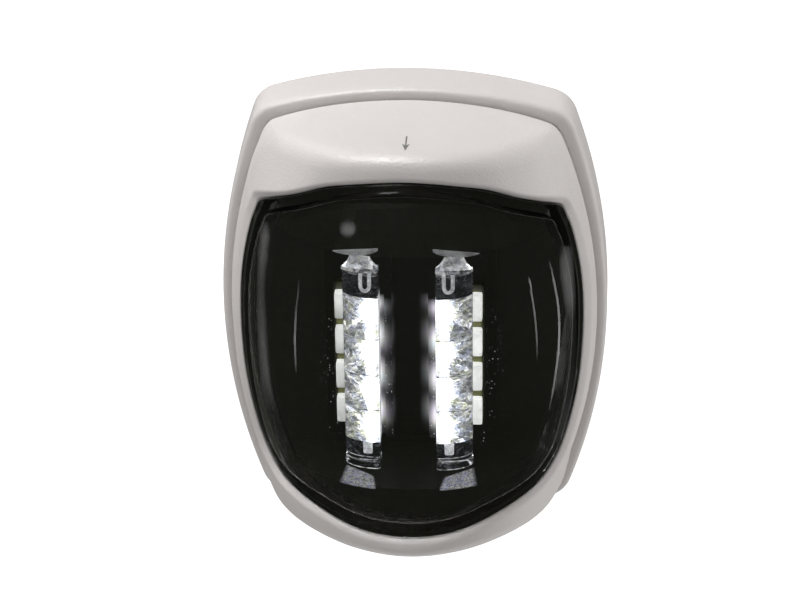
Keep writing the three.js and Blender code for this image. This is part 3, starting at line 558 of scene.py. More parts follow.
def laminate(name, base, trace, glow=0.0):
    """Circuit laminate: solder mask over copper tracks, with a woven-glass shadow under it. With glow, painted shade
    pulls the board towards black at its outer edges and top, and painted LED light glows on the rest.
    """
    m = Mat(name)
    br = m.node("ShaderNodeTexBrick")
    br.inputs["Scale"].default_value = 140
    br.inputs["Mortar Size"].default_value = 0.06
    mp = m.node("ShaderNodeMapping")
    mp.inputs["Rotation"].default_value = (math.pi / 2, 0, 0)
    m.link(m.co, mp.inputs["Vector"])
    m.link(mp.outputs["Vector"], br.inputs["Vector"])
    w = m.noise(1400, 2, 0.5)
    col = m.mix(m.map(br.outputs["Fac"], 0, 1, 0.0, 0.65), base, trace)
    col = m.mix(m.map(w, 0.4, 0.7, 0.0, 0.25), col, tuple(c * 0.6 for c in base))
    if glow:
        # painted shade: outside |x| 11.95 mm and above z 11.8 mm the board colour is pulled towards near-black
        sp = m.node("ShaderNodeSeparateXYZ")
        m.link(m.co, sp.inputs["Vector"])
        edge = m.math("MULTIPLY", m.map(m.math("ABSOLUTE", sp.outputs["X"]), 0.01165, 0.01195, 1.0, 0.12), m.map(sp.outputs["Z"], 0.0118, 0.0108, 0.3, 1.0))
        col = m.mix(edge, (0.006, 0.006, 0.004), col)
    m.set(Base_Color=col, Roughness=m.map(w, 0.3, 0.7, 0.34, 0.5), Normal=m.bump(br.outputs["Fac"], 0.3, 0.00004), Coat_Weight=0.3)
    if glow:
        # painted light: the board glows with its LEDs' light below z 10.4 mm, fading out past its side edges
        lit_ = m.math("MULTIPLY", m.map(sp.outputs["Z"], 0.0118, 0.0104, 0.03, glow), m.map(m.math("ABSOLUTE", sp.outputs["X"]), 0.0118, 0.0122, 1.0, 0.1))
        m.link(col, m.bsdf.inputs["Emission Color"])
        m.link(m.math("MULTIPLY", lit_, m.map(w, 0.3, 0.7, 0.7, 1.4)), m.bsdf.inputs["Emission Strength"])
    return m


led_mask = laminate("led_laminate", (0.135, 0.138, 0.035), (0.19, 0.19, 0.06), glow=0.25)
driver_mask = laminate("driver_laminate", (0.018, 0.095, 0.035), (0.04, 0.17, 0.06))

# ------------------------------------------------------------------ the shroud: black, with the light that falls on its floor
def floor_patch(m, sep, side):
    """Trapezium in front of one optic bar where its light lands, in design millimetres."""
    u = m.math("MULTIPLY", sep.outputs["X"], 1000.0 * side)
    f = m.math("MULTIPLY", sep.outputs["Y"], -1000.0)
    near = m.math("MULTIPLY_ADD", u, -0.685, 30.47)
    far = m.math("MULTIPLY_ADD", u, -0.583, 35.55)
    inner = m.math("MULTIPLY_ADD", f, -0.175, 10.44)
    outer = m.math("MULTIPLY_ADD", f, 0.12, 7.7)
    parts = (m.map(m.math("SUBTRACT", f, near), -0.1, 0.25, 0, 1), m.map(m.math("SUBTRACT", far, f), -0.1, 0.5, 0, 1),
             m.map(m.math("SUBTRACT", u, inner), -0.1, 0.35, 0, 1), m.map(m.math("SUBTRACT", outer, u), -0.2, 0.6, 0, 1))
    z = m.map(m.math("ABSOLUTE", m.math("SUBTRACT", sep.outputs["Z"], SHELF_LOW * 0.001)), 0.0003, 0.0005, 1, 0)
    out = z
    for p in parts:
        out = m.math("MULTIPLY", out, p)
    return out


sep = black.node("ShaderNodeSeparateXYZ")
black.link(black.co, sep.inputs["Vector"])
lit = black.math("ADD", floor_patch(black, sep, -1), floor_patch(black, sep, 1), clamp=True)
speckle = black.noise(4200, 2, 0.85)
cloud = black.noise(700, 3, 0.6)
lit = black.math("MULTIPLY", lit, black.math("ADD", black.map(speckle, 0.38, 0.62, 0.01, 0.42), black.map(cloud, 0.3, 0.7, 0.0, 0.06)))
patch_tint = black.noise(1500, 2, 0.6)
patch_hue = black.ramp(patch_tint, [(0.38, (0.70, 0.72, 1.0)), (0.55, (0.95, 0.95, 0.92))])

# ------------------------------------------------------------------ mounting base
def build_base():
    r = [flat_ring(0.5, 0), flat_ring(0, 0.5), flat_ring(0, BASE_FRONT), flat_ring(BASE_WALL, BASE_FRONT), flat_ring(BASE_WALL, BASE_FLOOR)]
    P = [r[0]]
    chain = soften([r[1], r[2], r[3], r[4], flat_ring(8, BASE_FLOOR), flat_ring(8, 0.5)], [0.3, LIP_RADIUS, 0.35, 0.5, 0, 0], 7)
    body = chain[:-2]
    ob = capped("base_shell", [r[0]] + body, poles=(v3(0, 0, 0), v3(0, BASE_FLOOR, 0)))
    groove = hoop("c0", [flat_ring(3.0, -0.5), flat_ring(3.0, 1.5), flat_ring(7.2, 1.5), flat_ring(7.2, -0.5)])
    cut = [groove]
    for sx in (-1, 1):
        for sz in (-1, 1):
            cut.append(rod_cutter("c1", sx * WALL_HOLE_X, sz * WALL_HOLE_Z, -1, 4, WALL_HOLE_D / 2, WALL_HOLE_D / 2))
            cut.append(rod_cutter("c2", sx * WALL_HOLE_X, sz * WALL_HOLE_Z, 0.9, 2.7, 1.7, 3.6))
    cut_with(ob, cut)
    cut_with(ob, [rod_cutter("c3", 0, GLAND_Z, 2.4, 3.0, 8.7, 8.5)], "UNION")
    cut_with(ob, [rod_cutter("c4", 0, GLAND_Z, -1, 4, 7.3, 7.3)])
    return ob


base = build_base()
base.data.materials.append(white.m)
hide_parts("mounting_base")
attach(base, "base")

gasket = hoop("wall_gasket_foam", soften([flat_ring(3.3, 0), flat_ring(3.3, 1.2), flat_ring(6.9, 1.2), flat_ring(6.9, 0)], [0.15] * 4, 3))
gasket.data.materials.append(rubber.m)
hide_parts("wall_gasket")
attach(gasket, "base")

# ------------------------------------------------------------------ housing of the light unit
def build_housing():
    d = SKIRT_INSET
    chain = [
        (flat_ring(d, UNIT_BACK), 0.3), (flat_ring(d, 5.1), 0.12), (flat_ring(d + 1.0, 5.1), 0.1), (flat_ring(d + 1.0, 6.7), 0.1), (flat_ring(d, 6.7), 0.12),
        (flat_ring(d, BASE_FRONT + 0.3), 0.1), (ring(swell_point), 0.25),
        (ring(lambda s: lerp(swell_point(s), body_corner(s, 0), 0.25)), 0), (ring(lambda s: lerp(swell_point(s), body_corner(s, 0), 0.5)), 0),
        (ring(lambda s: lerp(swell_point(s), body_corner(s, 0), 0.75)), 0)]
    n = 16
    chain += [(ring(lambda s, i=i: body_corner(s, i / n)), 0) for i in range(n + 1)]
    chain += [(ring(lambda s: rim_at(s, 0.0, 0.05)), 0.42), (ring(lambda s: rim_at(s, bevel_at(s), 0.95)), 0.15), (ring(lambda s: rim_at(s, bevel_at(s), LIP_THICK)), 0.2),
              (ring(lambda s: rim_at(s, -0.8, LIP_THICK + 0.1)), 0), (ring(inner_edge), 0.4),
              (ring(lambda s: (lambda o: v3(o[0], OVERHANG_BACK, o[1]))(outline(d + SKIRT_WALL, s))), 0), (flat_ring(d + SKIRT_WALL, UNIT_BACK), 0.25)]
    return hoop("housing_shell", soften([c[0] for c in chain], [c[1] for c in chain], 4))


housing = build_housing()
housing.data.materials.append(white.m)
for i, (sx, sz) in enumerate(((-1, 1), (1, 1), (-1, -1), (1, -1))):
    ang_ = np.linspace(0, 2 * math.pi, 40, endpoint=False)
    prof = [(2.8, 6.12), (2.75, 7.5), (2.65, 10.2), (2.3, 10.6), (0.9, 10.6), (0.9, 9.6), (1.3, 9.45), (1.3, 6.12)]
    post = hoop(f"screw_post_{i + 1}", [np.c_[sx * 18.4 + r * np.cos(ang_), np.full(40, f), sz * 29.2 + r * np.sin(ang_)] for r, f in prof])
    post.data.materials.append(white.m)
    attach(post, "light_unit")
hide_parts("housing")
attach(housing, "light_unit")

# ------------------------------------------------------------------ lens
def edge_along(s):
    return bevel_at(s) + LENS_GAP


def lens_ring(scale, off):
    def fn(s):
        seat = rim_at(s, edge_along(s), RIM_PROUD + 0.15)
        phi = phi_of(max(-1, min(1, seat[0] / half_width(seat[2], 0))))
        ideal = barrel_point(frac_of(phi), seat[2], 0)
        q = barrel_point(frac_of(phi * scale), seat[2] * scale, off)
        return q + (seat - ideal) * scale ** 4
    return ring(fn)


def build_lens():
    scales = list(np.linspace(0.03, 0.985, 26))
    outer = [lens_ring(k, 0) for k in scales]
    rim = soften([lens_ring(0.985, 0), ring(lambda s: rim_at(s, edge_along(s), RIM_PROUD + 0.15)), ring(lambda s: rim_at(s, edge_along(s), 3.6)),
                  ring(lambda s: rim_at(s, -0.5, 3.6)), ring(lambda s: rim_at(s, -0.5, 4.8)), lens_ring(0.93, 4.0), lens_ring(0.92, LENS_WALL), lens_ring(0.9, LENS_WALL)],
                 [0, 0.3, 0.1, 0.15, 0.15, 0.1, 0.3, 0], 4)[1:-1]
    inner = [lens_ring(k, LENS_WALL) for k in np.linspace(0.9, 0.03, 24)]
    return capped("lens_barrel", outer + rim + inner, poles=(barrel_point(0, 0, 0), barrel_point(0, 0, LENS_WALL)), angle=50)


lens = build_lens()
lens.data.materials.append(lens_clear.m)
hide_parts("lens")
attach(lens, "light_unit")

# ------------------------------------------------------------------ optic bars
def bar_front(u):
    return BAR_SHOULDER + (BAR_FRONT - BAR_SHOULDER) * math.sqrt(max(0.0, 1 - ((u + BAR_HALF - 0.4) / (2 * BAR_HALF - 0.4)) ** 2)) if u > -BAR_HALF + 0.4 else BAR_FRONT


def bar_plan(n=28):
    plan = [(-BAR_HALF, BAR_BACK), (-BAR_HALF, BAR_FRONT - 0.4), (-BAR_HALF + 0.12, BAR_FRONT - 0.12), (-BAR_HALF + 0.4, BAR_FRONT)]
    for i in range(1, n + 1):
        a = math.pi / 2 * i / n
        plan.append((-BAR_HALF + 0.4 + (2 * BAR_HALF - 0.4) * math.sin(a), BAR_SHOULDER + (BAR_FRONT - BAR_SHOULDER) * math.cos(a)))
    plan.append((BAR_HALF, BAR_BACK))
    return plan


def build_bar(side, name):
    plan = bar_plan()

    def section(z, sx, sf, mid=25.1):
        r = [(side * (COLUMN_X + u * sx), lerp(mid, f, sf), z) for u, f in plan]
        return np.array(r[::-1] if side < 0 else r)
    levels = [(-19.95, .96, .96), (-19.83, .99, .99), (-19.65, 1, 1), (-18.95, 1, 1), (-18.8, .97, .97), (-18.65, .9, .9), (-18.45, .87, .87), (-17.9, .86, .86), (-17.75, .93, .93), (-17.62, .985, .985), (-17.4, 1, 1),
              (16.2, 1, 1), (16.72, .985, .985), (16.84, .96, .97), (16.95, .97, .93), (17.02, .985, .7, 25.6), (17.1, 1.0, .5, 26.2), (17.3, 1.02, .43, 26.45), (17.55, .99, .42, 26.45),
              (17.9, .87, .40, 26.45), (18.3, .75, .38, 26.4), (18.8, .65, .37, 26.4), (19.3, .57, .36, 26.4), (19.8, .52, .35, 26.4), (20.3, .5, .34, 26.4), (20.5, .47, .31, 26.4)]
    return capped(name, [section(*l) for l in levels], angle=40)


# the faceted light guide just under the skin of each bar: one fan of facets around each LED
CELL_Z = [12.6, 4.75, -2.05, -8.7, -15.0]
CORE_Z = [10.0, 2.7, -4.7, -11.8]
CORE_U = -1.55


def build_guide(side, name):
    rnd = random.Random(7 if side < 0 else 11)
    verts, faces, glow, hue = [], [], [], []
    u_in, u_out = -BAR_HALF + 0.1, BAR_HALF - 0.3

    def depth(u):
        return bar_front(u) - 0.75

    for c in range(4):
        z1, z0, zc = CELL_Z[c] - 0.09, CELL_Z[c + 1] + 0.09, CORE_Z[c]
        angles = [i * 2 * math.pi / 40 + rnd.uniform(-0.03, 0.03) for i in range(40)]
        angles += [math.atan2(z - zc, u - CORE_U) % (2 * math.pi) for u in (u_in, u_out) for z in (z0, z1)]
        angles = sorted(a % (2 * math.pi) for a in angles)
        n = len(angles)
        radii = [0.0, 0.16, 0.30, 0.42, 0.54, 0.66, 0.78, 0.89, 1.0]

        def reach(a):
            ca, sa = math.cos(a), math.sin(a)
            r = 1e9
            if ca > 1e-6:
                r = min(r, (u_out - CORE_U) / ca)
            if ca < -1e-6:
                r = min(r, (u_in - CORE_U) / ca)
            if sa > 1e-6:
                r = min(r, (z1 - zc) / sa)
            if sa < -1e-6:
                r = min(r, (z0 - zc) / sa)
            return r
        base = len(verts)
        verts.append((CORE_U, depth(CORE_U), zc))
        for k, q in enumerate(radii[1:], 1):
            for j, a in enumerate(angles):
                twist = 0.05 * math.sin(k * 1.3) if k < len(radii) - 1 else 0.0
                r = reach(a + twist) * q
                u, z = CORE_U + r * math.cos(a + twist), zc + r * math.sin(a + twist)
                u, z = min(u_out, max(u_in, u)), min(z1, max(z0, z))
                lift = (0.10 if (j + k) % 2 else -0.06) * min(1.0, r / 1.2) if k < len(radii) - 1 else 0.0
                verts.append((u, depth(u) + lift, z))
        back = len(verts)
        for j, a in enumerate(angles):
            u, f, z = verts[base + 1 + (len(radii) - 2) * n + j]
            verts.append((u, f - 0.35, z))
        verts.append((CORE_U, depth(CORE_U) - 0.35, zc))
        sector = [rnd.choice((0.18, 0.4, 0.7, 1.0, 1.6)) for _ in range(n)]

        def shine(idx, j, k):
            m = np.mean([verts[i] for i in idx], axis=0)
            du, dz = m[0] - CORE_U, m[2] - zc
            r = math.hypot(du, dz)
            a = math.atan2(dz, du)
            near = math.exp(-(dz / 2.0) ** 2)
            w = 0.62 + 0.62 * near
            core = 3.4 * math.exp(-(max(0.0, du + 0.1) / w) ** 2.5)
            if du < -0.35:
                core = lerp(core, 0.45 + 0.65 * near, min(1.0, (-0.35 - du) / 0.5))
            glow_ = 0.66 * near * math.exp(-(max(0.0, du - 1.1) / 1.6) ** 2)
            fan = 0.5 * (sector[j] - 0.3) * math.exp(-((abs(a) - 0.75) / 0.40) ** 2) if abs(a) < 1.75 else 0.1
            pit = 1 - 0.55 * math.exp(-((du - 3.0) / 0.9) ** 2 - ((dz + 0.2) / 1.1) ** 2)
            g = core + (0.27 + glow_ + fan) * pit * rnd.choice((0.3, 0.55, 0.8, 1.0, 1.2, 1.8))
            return g
        for j in range(n):
            j2 = (j + 1) % n
            faces.append((base, base + 1 + j, base + 1 + j2))
            glow.append(shine(faces[-1], j, 0))
            for k in range(1, len(radii) - 1):
                r0, r1 = base + 1 + (k - 1) * n, base + 1 + k * n
                a_, b_, c_, d_ = r0 + j, r0 + j2, r1 + j2, r1 + j
                for tri in (((a_, d_, c_), (a_, c_, b_)) if (j + k) % 2 else ((a_, d_, b_), (b_, d_, c_))):
                    faces.append(tri)
                    glow.append(shine(tri, j, k))
            o = base + 1 + (len(radii) - 2) * n
            faces.append((o + j, back + j, back + j2, o + j2))
            glow.append(0.05)
            faces.append((back + j, back + n, back + j2))
            glow.append(0.05)
    pts = [(side * (COLUMN_X + u), f, z) for u, f, z in verts]
    me = bpy.data.meshes.new(name)
    w = world(pts)
    me.from_pydata([tuple(v) for v in w], [], [tuple(f if side > 0 else f[::-1]) for f in faces])
    at = me.attributes.new("glow", "FLOAT", "FACE")
    at.data.foreach_set("value", np.array(glow, np.float32))
    ob = bpy.data.objects.new(name, me)
    bpy.context.scene.collection.objects.link(ob)
    return ob


def guide_material():
    m = Mat("lit_facets")
    at = m.node("ShaderNodeAttribute", attribute_name="glow", attribute_type="GEOMETRY")
    g = at.outputs["Fac"]
    fine = m.noise(4200, 3, 0.8)
    coarse = m.noise(1500, 2, 0.6)
    tint = m.noise(800, 2, 0.6)
    col = m.ramp(tint, [(0.36, (0.74, 0.80, 1.0)), (0.5, (1.0, 1.0, 1.0)), (0.64, (0.95, 1.0, 0.74))])
    sparkle = m.map(fine, 0.34, 0.66, 0.45, 1.55)
    s = m.math("MULTIPLY", g, m.math("MULTIPLY", sparkle, m.map(coarse, 0.3, 0.7, 0.8, 1.2)))
    m.set(Base_Color=m.mix(m.map(fine, 0.3, 0.7, 0, 1), (0.16, 0.17, 0.19), (0.34, 0.35, 0.37)), Roughness=0.25)
    m.link(col, m.bsdf.inputs["Emission Color"])
    m.link(s, m.bsdf.inputs["Emission Strength"])
    return m


def optic_material():
    """Clear acrylic; the neck, the cap and the rims of the bar carry scattered light from the LEDs."""
    m = optic_clear
    sp = m.node("ShaderNodeSeparateXYZ")
    m.link(m.co, sp.inputs["Vector"])
    z = sp.outputs["Z"]
    mm = lambda v: v * 0.001
    blotch = m.noise(620, 3, 0.65, distortion=0.8)
    fine = m.noise(3600, 2, 0.8)
    bulb = m.math("MULTIPLY", m.map(z, mm(16.9), mm(17.3), 0, 1), m.map(z, mm(18.2), mm(19.4), 1, 0.3))
    bulb = m.math("MULTIPLY", bulb, m.map(blotch, 0.40, 0.66, 0.02, 0.42))
    cap = m.math("MULTIPLY", m.map(z, mm(18.6), mm(19.4), 0, 1), m.map(blotch, 0.3, 0.7, 0.02, 0.16))
    bands = 0
    for zc, w, v in ((16.86, 0.07, 0.30), (-17.58, 0.09, 0.8), (-19.77, 0.10, 0.9), (-18.62, 0.10, 0.12)):
        band = m.map(m.math("ABSOLUTE", m.math("SUBTRACT", z, mm(zc))), mm(w * 0.4), mm(w), v, 0)
        bands = m.math("ADD", band, bands)
    bands = m.math("MULTIPLY", bands, m.map(blotch, 0.42, 0.62, 0.10, 1.0))
    side_x = m.math("ABSOLUTE", sp.outputs["X"])
    side_wall = m.math("MULTIPLY", m.map(side_x, mm(COLUMN_X - BAR_HALF + 0.05), mm(COLUMN_X - BAR_HALF + 0.16), 0.42, 0), m.math("MULTIPLY", m.map(z, mm(12.0), mm(13.0), 1, 0), m.map(z, mm(-15.4), mm(-14.6), 0, 1)))
    bands = m.math("ADD", bands, side_wall)
    glow = m.math("ADD", m.math("ADD", bulb, cap), bands)
    glow = m.math("MULTIPLY", glow, m.map(fine, 0.3, 0.7, 0.7, 1.3))
    m.link(m.ramp(m.noise(900, 2, 0.5), [(0.4, (0.86, 0.89, 1.0)), (0.6, (1.0, 1.0, 0.97))]), m.bsdf.inputs["Emission Color"])
    m.link(glow, m.bsdf.inputs["Emission Strength"])


def pin_material():
    m = Mat("frosted_pin")
    # painted light: the frosted pin and stub glow with LED light, dimmer above z 10 mm
    a = m.noise(2400, 3, 0.7)
    b = m.noise(500, 2, 0.5)
    sp = m.node("ShaderNodeSeparateXYZ")
    m.link(m.co, sp.inputs["Vector"])
    lit_ = m.math("MULTIPLY", m.map(a, 0.3, 0.7, 0.32, 0.95), m.map(b, 0.35, 0.65, 0.6, 1.15))
    lit_ = m.math("MULTIPLY", lit_, m.map(sp.outputs["Z"], 0.0, 0.01, 1.0, 0.55))
    m.set(Base_Color=m.mix(m.map(a, 0.3, 0.7, 0, 1), (0.35, 0.36, 0.38), (0.6, 0.61, 0.62)), Roughness=m.map(b, 0.3, 0.7, 0.2, 0.4))
    m.bsdf.inputs["Emission Color"].default_value = (0.95, 0.97, 1.0, 1)
    m.link(lit_, m.bsdf.inputs["Emission Strength"])
    return m


def tube(name, path, r, seg=12):
    """Round bar swept along a path of design points, both ends closed."""
    P = np.array(path, float)
    T = np.gradient(P, axis=0)
    T /= np.linalg.norm(T, axis=1)[:, None]
    ref = v3(0, 1, 0)
    rings = []
    for k in range(len(P)):
        n1 = unit(np.cross(T[k], ref))
        n2 = np.cross(n1, T[k])
        rk = r[k] if hasattr(r, "__len__") else r
        rings.append([P[k] + rk * (math.cos(a) * n1 + math.sin(a) * n2) for a in np.linspace(0, 2 * math.pi, seg, endpoint=False)])
    return capped(name, rings)


def build_pin(side, name):
    """Frosted locating loop moulded into the top of each bar."""
    cu, w, top, bend = -0.92, 0.70, 16.8, 14.75
    path = [(cu - w, bar_front(cu) - 0.8, lerp(top, bend, i / 8)) for i in range(8)]
    path += [(cu - w * math.cos(a), bar_front(cu) - 0.8, bend - 0.95 * math.sin(a)) for a in np.linspace(0, math.pi, 15)]
    path += [(cu + w, bar_front(cu) - 0.8, lerp(bend, top, i / 8)) for i in range(1, 9)]
    path = [(side * (COLUMN_X + u), f, z) for u, f, z in path]
    ob = tube(name, path, 0.31)
    return ob


def build_stub(side, name):
    """Frosted stub below the last LED of each bar."""
    cu = -0.95
    rings = []
    for z, w, d in ((-17.2, 0.62, 0.3), (-17.05, 0.72, 0.36), (-15.7, 0.74, 0.38), (-15.2, 0.80, 0.4), (-14.9, 0.6, 0.3)):
        f0 = bar_front(cu) - 1.1
        rings.append([(side * (COLUMN_X + cu + w * math.copysign(abs(math.cos(a)) ** 0.6, math.cos(a))), f0 + d * math.copysign(abs(math.sin(a)) ** 0.6, math.sin(a)), z) for a in np.linspace(0, 2 * math.pi, 24, endpoint=False)])
    return capped(name, rings)


def surface_f(x, z, off):
    a = min(0.999, abs(x) / half_width(z, off))
    return AXIS_F + (front_at(z, off) - AXIS_F) * (1 - a ** BARREL_POWER) ** (1 / BARREL_POWER)


FLANGE = [(-11.6, 21.14), (-10.3, 21.50), (-8.2, 21.95), (-5.6, 22.38), (-4.3, 22.58), (-4.4, 22.2), (-5.3, 21.72), (-6.8, 21.33), (-8.6, 21.07), (-10.0, 21.0), (-10.9, 21.04)]


def build_flange(side, name):
    """Thin lens-shaped tab that hooks each bar over the front edge of the shelf."""
    n = 72
    P = np.array(FLANGE + FLANGE[:1])
    seg = np.r_[0, np.cumsum(np.linalg.norm(np.diff(P, axis=0), axis=1))]
    s = np.linspace(0, seg[-1], n, endpoint=False)
    out = np.c_[np.interp(s, seg, P[:, 0]), np.interp(s, seg, P[:, 1])]
    c = v3(-7.8, 21.6)
    rings = []
    for off, k in ((2.95, 0.93), (2.9, 0.98), (2.8, 1.0), (2.62, 1.0), (2.52, 0.97), (2.49, 0.90), (2.49, 0.6)):
        r = c + (out - c) * k
        r = [(side * -x, surface_f(x, z, off), z) for x, z in r]
        rings.append(np.array(r if side < 0 else r[::-1]))
    return capped(name, rings, angle=50)


def build_shade(side, name, z0, z1):
    """Dark sheet behind the clear end of each bar, standing in for the shade seen there: painted shade."""
    n = 64
    rings = []
    cz, hz = (z0 + z1) / 2, (z1 - z0) / 2
    for f, k in ((23.85, 0.93), (23.9, 0.98), (24.02, 1.0), (24.16, 0.985), (24.2, 0.93), (24.2, 0.5)):
        ring_ = []
        for a in np.linspace(0, 2 * math.pi, n, endpoint=False):
            c_, s_ = math.cos(a), math.sin(a)
            q_ = (abs(c_) ** 10 + abs(s_) ** 10) ** -0.1
            ring_.append((side * (COLUMN_X + 0.02 + (2.66 * k) * q_ * c_), f + 0.05 * math.sin(3 * a), cz + hz * k * q_ * s_))
        rings.append(np.array(ring_))
    return capped(name, rings)


def flange_material():
    m = Mat("optic_flange_frosted")
    a, b = m.noise(2600, 3, 0.7), m.noise(420, 3, 0.6)
    m.set(Base_Color=m.mix(m.map(a, 0.3, 0.7, 0, 1), (0.10, 0.10, 0.105), (0.2, 0.2, 0.21)), Roughness=m.map(b, 0.3, 0.7, 0.3, 0.5), Normal=m.bump(a, 0.3, 0.00002))
    # painted light: the frosted flange glows faintly with the bars' light
    m.bsdf.inputs["Emission Color"].default_value = (0.97, 0.98, 1.0, 1)
    m.link(m.math("MULTIPLY", m.map(b, 0.3, 0.7, 0.06, 0.22), m.map(a, 0.3, 0.7, 0.75, 1.25)), m.bsdf.inputs["Emission Strength"])
    return m


def shade_material():
    # painted shade: near-black sheet colour, with faint glowing streaks as painted reflections
    m = Mat("painted_shade_sheet")
    a = m.noise(520, 4, 0.65, distortion=2.5)
    b = m.noise(2400, 2, 0.7)
    m.set(Base_Color=m.mix(m.map(a, 0.3, 0.7, 0, 1), (0.006, 0.006, 0.007), (0.02, 0.021, 0.025)), Roughness=m.map(b, 0.3, 0.7, 0.2, 0.4), Normal=m.bump(a, 0.3, 0.00006))
    m.bsdf.inputs["Emission Color"].default_value = (0.86, 0.9, 1.0, 1)
    m.link(m.math("ADD", m.map(a, 0.55, 0.68, 0.003, 0.11), m.map(b, 0.55, 0.75, 0.0, 0.02)), m.bsdf.inputs["Emission Strength"])
    return m


facets = guide_material()
optic_material()
flange_mat, shade_mat = flange_material(), shade_material()
frosted = pin_material()
for side, word in ((-1, "left"), (1, "right")):
    bar = build_bar(side, f"optic_{word}")
    bar.data.materials.append(optic_clear.m)
    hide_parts(f"optic_bar_{word}")
    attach(bar, "light_unit")
    for piece_, mat in ((build_guide(side, f"light_guide_{word}"), facets), (build_pin(side, f"optic_pin_{word}"), frosted), (build_stub(side, f"optic_stub_{word}"), frosted),
                        (build_flange(side, f"optic_flange_{word}"), flange_mat), (build_shade(side, f"optic_shade_top_{word}", 11.8, 16.75), shade_mat),
                        (build_shade(side, f"optic_shade_low_{word}", -19.4, -14.8), shade_mat)):
        piece_.data.materials.append(mat.m)
        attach(piece_, "light_unit")

# ------------------------------------------------------------------ LED packages
def package_material():
    m = Mat("led_package_white")
    a = m.noise(2600, 3, 0.7)
    b = m.noise(260, 2, 0.5)
    col = m.mix(m.map(a, 0.35, 0.7, 0, 0.6), (0.80, 0.81, 0.79), (0.66, 0.67, 0.66))
    m.set(Base_Color=col, Roughness=m.map(b, 0.3, 0.7, 0.3, 0.5), Normal=m.bump(a, 0.3, 0.00003))
    # painted light: the white body glows with its LED's light, brighter towards the top of each package and brighter on
    # the right column than the left
    m.link(col, m.bsdf.inputs["Emission Color"])
    sp = m.node("ShaderNodeSeparateXYZ")
    m.link(m.co, sp.inputs["Vector"])
    step = m.math("FRACT", m.math("MULTIPLY_ADD", sp.outputs["Z"], 1000.0 / 6.6, 0.1515))
    shade = m.mix(m.map(sp.outputs["X"], -0.001, 0.001, 0, 1), m.map(step, 0.15, 0.85, 0.62, 1.45), m.map(step, 0.0, 1.0, 1.45, 1.6))
    m.link(m.math("MULTIPLY", m.math("MULTIPLY", m.map(a, 0.3, 0.7, 0.44, 0.86), m.map(b, 0.3, 0.7, 0.75, 1.2)), shade), m.bsdf.inputs["Emission Strength"])
    return m


def phosphor_material():
    m = Mat("phosphor")
    a = m.noise(3000, 3, 0.7)
    m.set(Base_Color=m.mix(m.map(a, 0.3, 0.7, 0, 1), (0.86, 0.74, 0.18), (0.72, 0.58, 0.10)), Roughness=m.map(a, 0.3, 0.7, 0.35, 0.55))
    m.link(m.ramp(a, [(0.3, (1.0, 0.97, 0.82)), (0.7, (0.93, 0.97, 1.0))]), m.bsdf.inputs["Emission Color"])
    m.bsdf.inputs["Emission Strength"].default_value = 5.0
    return m


def build_package(side, z, name):
    """Moulded LED body: square with eased corners and a reflector cup."""
    cx, n = side * (LED_X - 0.1), 64
    ang = np.linspace(0, 2 * math.pi, n, endpoint=False)

    def square(h, f, r=0.35):
        out = []
        for a in ang:
            c, s_ = math.cos(a), math.sin(a)
            p = 26.0
            k = (abs(c) ** p + abs(s_) ** p) ** (-1 / p)
            out.append((cx + h * k * c, f, z + h * k * s_))
        return out

    def circle(r, f):
        return [(cx + r * math.cos(a), f, z + r * math.sin(a)) for a in ang]
    h = LED_SIZE / 2 - 0.12
    rings = [square(h - 0.05, 22.0), square(h, 22.06), square(h, 23.18), square(h - 0.05, 23.27), square(h - 0.14, 23.3), circle(0.92, 23.3), circle(0.86, 23.24), circle(0.72, 22.78)]
    return capped(name, rings)


package, phosphor = package_material(), phosphor_material()
for side, word in ((-1, "left"), (1, "right")):
    for i, z in enumerate(LED_Z, 1):
        body = build_package(side, z, f"led_body_{word}_{i}")
        body.data.materials.append(package.m)
        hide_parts(f"led_{word}_{i}")
        dome = turned(f"led_phosphor_{word}_{i}", [(0.70, 22.81), (0.70, 22.86), (0.62, 22.95), (0.45, 23.02), (0.2, 23.05), (0.03, 23.06)], side * LED_X, z, 40)
        dome.data.materials.append(phosphor.m)
        for piece_ in (body, dome):
            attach(piece_, "light_unit")


